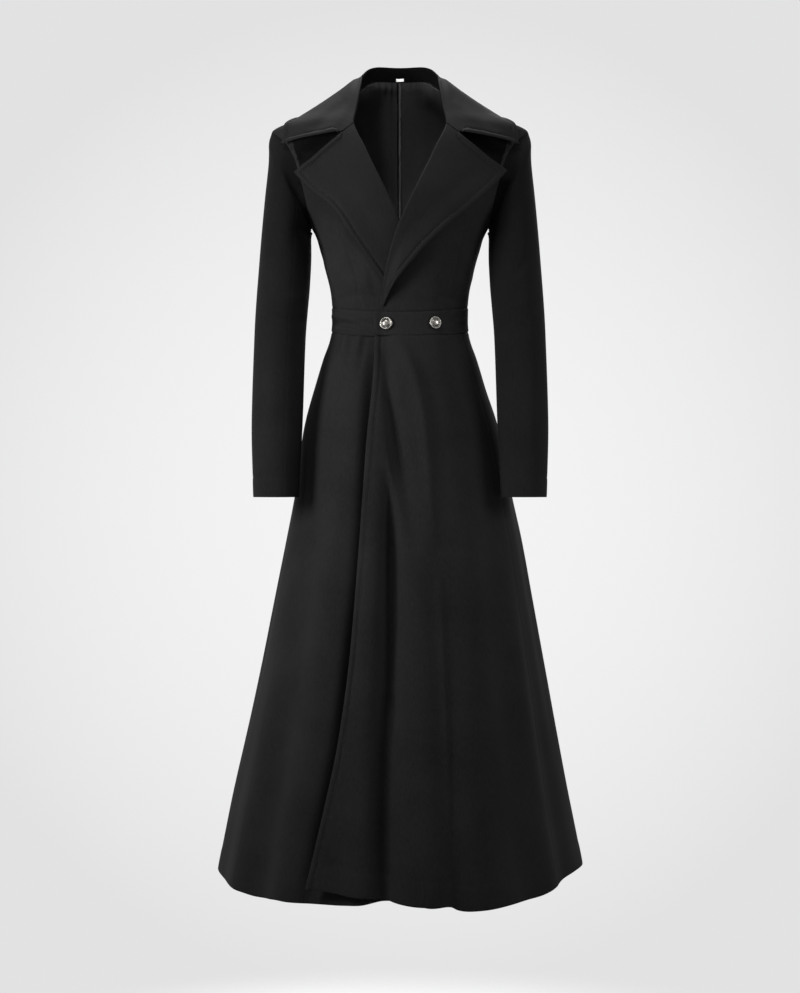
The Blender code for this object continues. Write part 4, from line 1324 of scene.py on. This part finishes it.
# Flared skirt, lapped left over right
skirt = {
    "seamAngle": math.radians(62),
    "crowding": 0.25,
    "frontTurning": 9.5,
    "frontWelt": (1.4, 0.9),
    # how far the lapped edge stands off the panel below, how broad that is, and where along it:
    # distances from the waist between which it begins and eases, and by how much it eases
    "spring": 12.0,
    "springReach": 55.0,
    "springStart": (40, 200),
    "springEase": (350, 880),
    "springLoss": 0.6,
    "stitchStart": 0.02,  # share of the edge
    "hemTurning": 38.0,
    "hemWelt": (0.5, 0.4),
    "sideSeams": {"left": (0.4, 3.0), "right": (0.1, 3.0)},
    "waistSeam": (1.2, 2.2),
    "middleZ": -840.0,
    "edge": makeTable(
        "z x",
        (-372, -38), (-413, -38), (-560, -45), (-760, -56), (-900, -67), (-1050, -88), (-1160, -111),
        (-1283, -138),
    ),
    # how far the hem rises round the coat, degrees and mm, and between which angles
    "hemReach": {"left": (-29, 120), "right": (-120, 20)},
    "hemRise": {
        "left": makeTable(
            "angle rise",
            (-29, 23), (-18, 19), (-8, 13), (4, 5), (11, 3), (20, -6), (30, -6), (40, -6), (47, -5), (57, 1),
            (66, 5), (80, 10), (95, 9), (120, 0),
        ),
        "right": makeTable(
            "angle rise",
            (-120, 0), (-95, -2), (-80, -3), (-66, -2), (-58, -3), (-51, -6), (-44, -3), (-37, 1), (-20, 1),
            (-12, 4), (-5, 8), (2, 7), (9, 2), (20, 0),
        ),
    },
    # creases of each panel: degrees and z along each, height, half width in mm
    "creases": {
        "skirt_front_left": (
            (-5, -408, 8, -474, 12, -570, 12, -760, 8.0, 11),
            (-13, -400, -7, -500, -0.5, -610, 5.5, -740, -11.0, 10),
            (-11, -570, -4.5, -650, -0.5, -710, 3.5, -810, 5.0, 8),
            (-7.5, -640, -4.5, -830, -3.5, -1040, -13.0, 13),
            (-13.5, -660, -13, -850, -13, -1060, 3.5, 10),
            (-6, -960, -5.5, -1120, -6, -1340, -13.0, 24),
            (14.5, -780, 14.5, -980, 14, -1230, 5.5, 11),
            (32, -700, 32, -860, 31, -1040, 2.6, 22),
            (52, -800, 55, -960, 55, -1180, 2.2, 20),
            (40, -412, 44, -440, 47, -500, -1.2, 8),
        ),
        "skirt_front_right": (
            (-19, -420, -17, -600, -18, -800, -20.8, -1030, -28.0, 14),
            (-17.8, -830, -21.3, -1060, -28, -1300, -22.0, 14),
            (-46, -440, -43, -600, -36, -830, -36, -1100, 4.0, 28),
            (-56, -401, -55, -420, -53, -446, -2.4, 5),
            (-49, -402, -48, -416, -47, -440, 2.2, 4),
            (-42, -404, -42, -422, -41, -460, -2.6, 5),
            (-34, -405, -34, -420, -35, -446, 2.2, 4),
            (-29, -406, -29, -430, -30, -476, -2.4, 5),
        ),
        "skirt_back_left": (
            (104, -402, 106, -450, 108, -540, 2.4, 10),
            (122, -400, 124, -450, 126, -540, -2.6, 9),
            (145, -398, 147, -460, 150, -620, 3.4, 12),
            (163, -398, 164, -450, 165, -560, -3.0, 10),
            (80, -620, 80, -860, 79, -1100, -3.0, 24),
            (124, -560, 124, -860, 125, -1180, -9.0, 18),
            (147, -600, 146, -860, 145, -1100, 5.0, 16),
            (166, -560, 166, -880, 167, -1190, -9.0, 17),
        ),
        "skirt_back_right": (
            (-171, -396, -170, -450, -168, -600, -3.0, 10),
            (-150, -398, -149, -450, -148, -560, 3.0, 11),
            (-128, -400, -128, -440, -127, -520, -2.6, 9),
            (-107, -402, -107, -440, -109, -540, 2.2, 10),
            (-86, -600, -86, -860, -88, -1080, -3.0, 24),
            (-149, -560, -149, -860, -148, -1180, -9.0, 18),
            (-170, -600, -170, -860, -171, -1100, 5.0, 16),
            (-128, -620, -127, -900, -127, -1190, 7.0, 18),
        ),
    },
}


def skirtEdgeAngle(z):
    return angleOf(skirt["edge"]("x", z), z)


def skirtGirth(z):
    return (section("halfWidth", z) + section("front", z)) / 2


def makeSkirtPanel(name, columns, rows, bounds):
    side = name.split("_")[2]
    lapped = name == "skirt_front_left"

    def placeAngle(s, t):
        down = (1 - t) * (1 - skirt["crowding"] * t)
        low, high = bounds(mix(coat["waistSideZ"] - bands["height"], coat["hemZ"], down))
        return mix(low, high, s), down

    # from the middle of the front, without a jump at the middle of the back
    def turnOf(angle):
        return wrapped(angle, -pi / 2 if side == "left" else -3 * pi / 2)

    def place(s, t):
        angle, down = placeAngle(s, t)
        turned = np.clip(np.degrees(turnOf(angle)), *skirt["hemReach"][side])
        top = waistTop(angle) - bands["height"] - coat["seam"] / 2
        hem = coat["hemZ"] + skirt["hemRise"][side]("rise", turned)
        return onCoat(angle, mix(top, hem, down), lapped=lapped)

    def inMm(turn, z):
        return math.radians(turn) * skirtGirth(z), z

    def relief(face, s, t, edges):
        z = face[..., 2]
        seam = skirt["sideSeams"][side]
        total = seamDip(edges, {"left": seam, "right": seam, "top": skirt["waistSeam"]})
        total = total + welt(edges["foot"], skirt["hemTurning"], *skirt["hemWelt"])
        if lapped:
            total = total + welt(edges["left"], skirt["frontTurning"], *skirt["frontWelt"])
            reach = ease(*skirt["springStart"], edges["top"])
            reach = reach * (1 - skirt["springLoss"] * ease(*skirt["springEase"], edges["top"]))
            total = total + skirt["spring"] * (1 - ease(0, skirt["springReach"], edges["left"])) * reach
        return total + creases(turnOf(placeAngle(s, t)[0]) * skirtGirth(z), z, skirt["creases"][name], inMm)

    piece, cut = clothPiece(
        name.replace("skirt_", "skirtPanel_"), name, spread(columns, 0.4, 0.5), spread(rows, 0.5, 0.5), place,
        relief, coat["cloth"], (0, 0, skirt["middleZ"]), woolSkirtPaintedShade,
    )
    sewing = []
    if lapped:
        row = lineAt(cut, "left", skirt["frontTurning"], skirt["stitchStart"])
        sewing = [stitches("frontEdgeStitches", [row])]


def panelSeam(z):
    return halfSeam(section("halfWidth", z))


seamAt = skirt["seamAngle"]
# columns and rows, the angles of both sides at a height, flat size and area
panels = {
    "skirt_front_left": (110, 180, lambda z: (skirtEdgeAngle(z), seamAt - panelSeam(z)), (0.56, 0.94), 0.28),
    "skirt_front_right": (
        110, 180, lambda z: (panelSeam(z) - seamAt, bands["underlap"]), (0.52, 0.94), 0.274,
    ),
    "skirt_back_left": (92, 150, lambda z: (seamAt + panelSeam(z), pi - panelSeam(z)), (0.72, 0.94), 0.388),
    "skirt_back_right": (
        92, 150, lambda z: (pi + panelSeam(z), 2 * pi - seamAt - panelSeam(z)), (0.72, 0.94), 0.388,
    ),
}
for name, (columns, rows, bounds, flat, area) in panels.items():
    makeSkirtPanel(name, columns, rows, bounds)
print("skirt made")


# Domed shank buttons with plain turned rings and a roped rim
buttons = {
    "radius": 10.0,
    "steps": 108,
    "ropes": 36,
    "ropeDepth": 0.16,
    "ropeLean": 24.0,
    # where the rim is roped: share of the radius, half width, lowest height
    "rope": (0.9, 0.07, 3.7),
    "angles": {"inner": math.radians(-10.6), "outer": math.radians(28.0)},
    # half section from the middle of the dome to the shank: share of the radius, height
    "section": (
        (0.0, 6.4), (0.08, 6.39), (0.16, 6.34), (0.24, 6.24), (0.32, 6.08), (0.4, 5.84), (0.46, 5.58),
        (0.5, 5.32), (0.535, 5.0), (0.56, 4.74), (0.58, 4.64), (0.6, 4.66), (0.63, 4.84), (0.66, 4.92),
        (0.69, 4.9), (0.715, 4.72), (0.735, 4.44), (0.755, 4.32), (0.775, 4.36), (0.8, 4.56), (0.84, 4.78),
        (0.88, 4.8), (0.92, 4.68), (0.96, 4.4), (0.985, 4.04), (1.0, 3.6), (0.995, 3.1), (0.97, 2.72),
        (0.92, 2.54), (0.7, 2.36), (0.4, 2.24), (0.31, 2.1), (0.285, 1.8), (0.28, 0.0), (0.0, 0.0),
    ),
}
silver = oldSilver(buttons["radius"])


def makeButton(place, angle):
    steps = buttons["steps"]
    rimShare, rimWidth, rimFoot = buttons["rope"]
    vertices, faces, rings = [], [], []
    for share, height in buttons["section"]:
        if share == 0:
            rings.append([len(vertices)] * steps)
            vertices.append((0, 0, height))
            continue
        rings.append(list(range(len(vertices), len(vertices) + steps)))
        roped = buttons["ropeDepth"] * bell(share - rimShare, rimWidth) if height > rimFoot else 0
        radius = buttons["radius"] * share
        for turn in np.arange(steps) * 2 * pi / steps:
            lift = roped * math.cos(buttons["ropes"] * turn + buttons["ropeLean"] * share)
            vertices.append((radius * math.cos(turn), radius * math.sin(turn), height + lift))
    for high, low in zip(rings, rings[1:]):
        for k in range(steps):
            n = (k + 1) % steps
            faces.append(tuple(dict.fromkeys((high[k], low[k], low[n], high[n]))))
    made = meshObject(f"button{place.capitalize()}", np.array(vertices), faces, silver)
    z = float(waistTop(angle)) - bands["height"] / 2
    made.location = Vector(onCoat(angle, z, bands["proud"] + coat["seam"], True)) * mm
    made.rotation_mode = "QUATERNION"
    made.rotation_quaternion = Vector(outward(np.array(angle), np.array(z))).to_track_quat("Z", "Y")
    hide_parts(f"button_{place}")


for place, angle in buttons["angles"].items():
    makeButton(place, angle)
print("buttons made")


# Studio: camera at the photograph's place, pale floor and soft lights
studio = {
    "camera": (0.0, -3.0, -0.6674),
    "lens": 65.9,
    "floorZ": -1.72,
    "floorRadius": 1.1,
    "floorFade": 0.4,
    "floorTone": "#c4c4c4",
    # the surround: how near to straight ahead each tone is
    "surround": ((0.965, "#e2e2e3"), (1.0, "#f4f4f4")),
    # place, aim, width, height, watts
    "lights": {
        "side": ((-1.0, -0.74, -0.3), (0.0, 0.0, -0.36), 0.35, 0.5, 40),
        "high": ((-0.5, -1.35, 1.2), (0.0, 0.0, -0.5), 0.35, 0.35, 36),
        "fill": ((1.87, -0.87, 0.0), (0.0, 0.0, -0.5), 0.8, 0.8, 42),
        "top": ((-0.2, 0.45, 2.2), (0.0, 0.0, -0.1), 1.4, 0.9, 150),
        "back": ((1.0, 2.8, 0.8), (0.0, 0.0, -0.5), 1.4, 2.0, 45),
    },
}


def makeStudio():
    scene = bpy.context.scene
    scene.view_settings.view_transform = "Standard"
    camera = bpy.data.objects.new("camera", bpy.data.cameras.new("camera"))
    camera.data.lens = studio["lens"]
    camera.data.sensor_width = 36.0
    camera.location = studio["camera"]
    camera.rotation_euler = (pi / 2, 0, 0)
    scene.collection.objects.link(camera)
    scene.camera = camera
    for name, (place, target, width, height, watts) in studio["lights"].items():
        lamp = bpy.data.lights.new(name, "AREA")
        lamp.shape = "RECTANGLE"
        lamp.size = width
        lamp.size_y = height
        lamp.energy = watts
        made = bpy.data.objects.new(name, lamp)
        made.location = place
        made.rotation_mode = "QUATERNION"
        made.rotation_quaternion = (Vector(target) - Vector(place)).to_track_quat("-Z", "Y")
        scene.collection.objects.link(made)
    scene.world = scene.world or bpy.data.worlds.new("studio")
    scene.world.use_nodes = True
    tree = scene.world.node_tree
    where = addNode(tree, "TexCoord", {}, "Generated")
    ahead = addNode(
        tree, "VectorMath", {0: where, 1: (0.0, 1.0, 0.0)}, "Value", operation="DOT_PRODUCT"
    )
    tone = addNode(tree, "ValToRGB", {"Fac": ahead}, stops=studio["surround"])
    setInputs(tree.nodes["Background"], {"Color": tone})


# Pale seamless paper, matt, fading out into the pale surround
def makeFloor():
    radius = studio["floorRadius"]
    turns = np.linspace(0, 2 * pi, 97)[:-1]
    rim = [(math.cos(t) * radius, math.sin(t) * radius, studio["floorZ"]) for t in turns]
    mesh = bpy.data.meshes.new("floor")
    mesh.from_pydata(rim, [], [tuple(range(len(rim)))])
    material, tree, shader, where = newMaterial(
        "paleSeamlessPaper", {"Roughness": 0.9, "Base Color": linear(studio["floorTone"])}
    )
    fade = addNode(tree, "MapRange", {
        "Value": fromAxis(tree, where), "From Min": studio["floorFade"], "From Max": radius,
        "To Min": 1.0, "To Max": 0.0,
    }, interpolation_type="SMOOTHSTEP")
    setInputs(shader, {"Alpha": fade})
    mesh.materials.append(material)
    floor = bpy.data.objects.new("floor", mesh)
    bpy.context.scene.collection.objects.link(floor)


makeStudio()
makeFloor()
print("studio made")
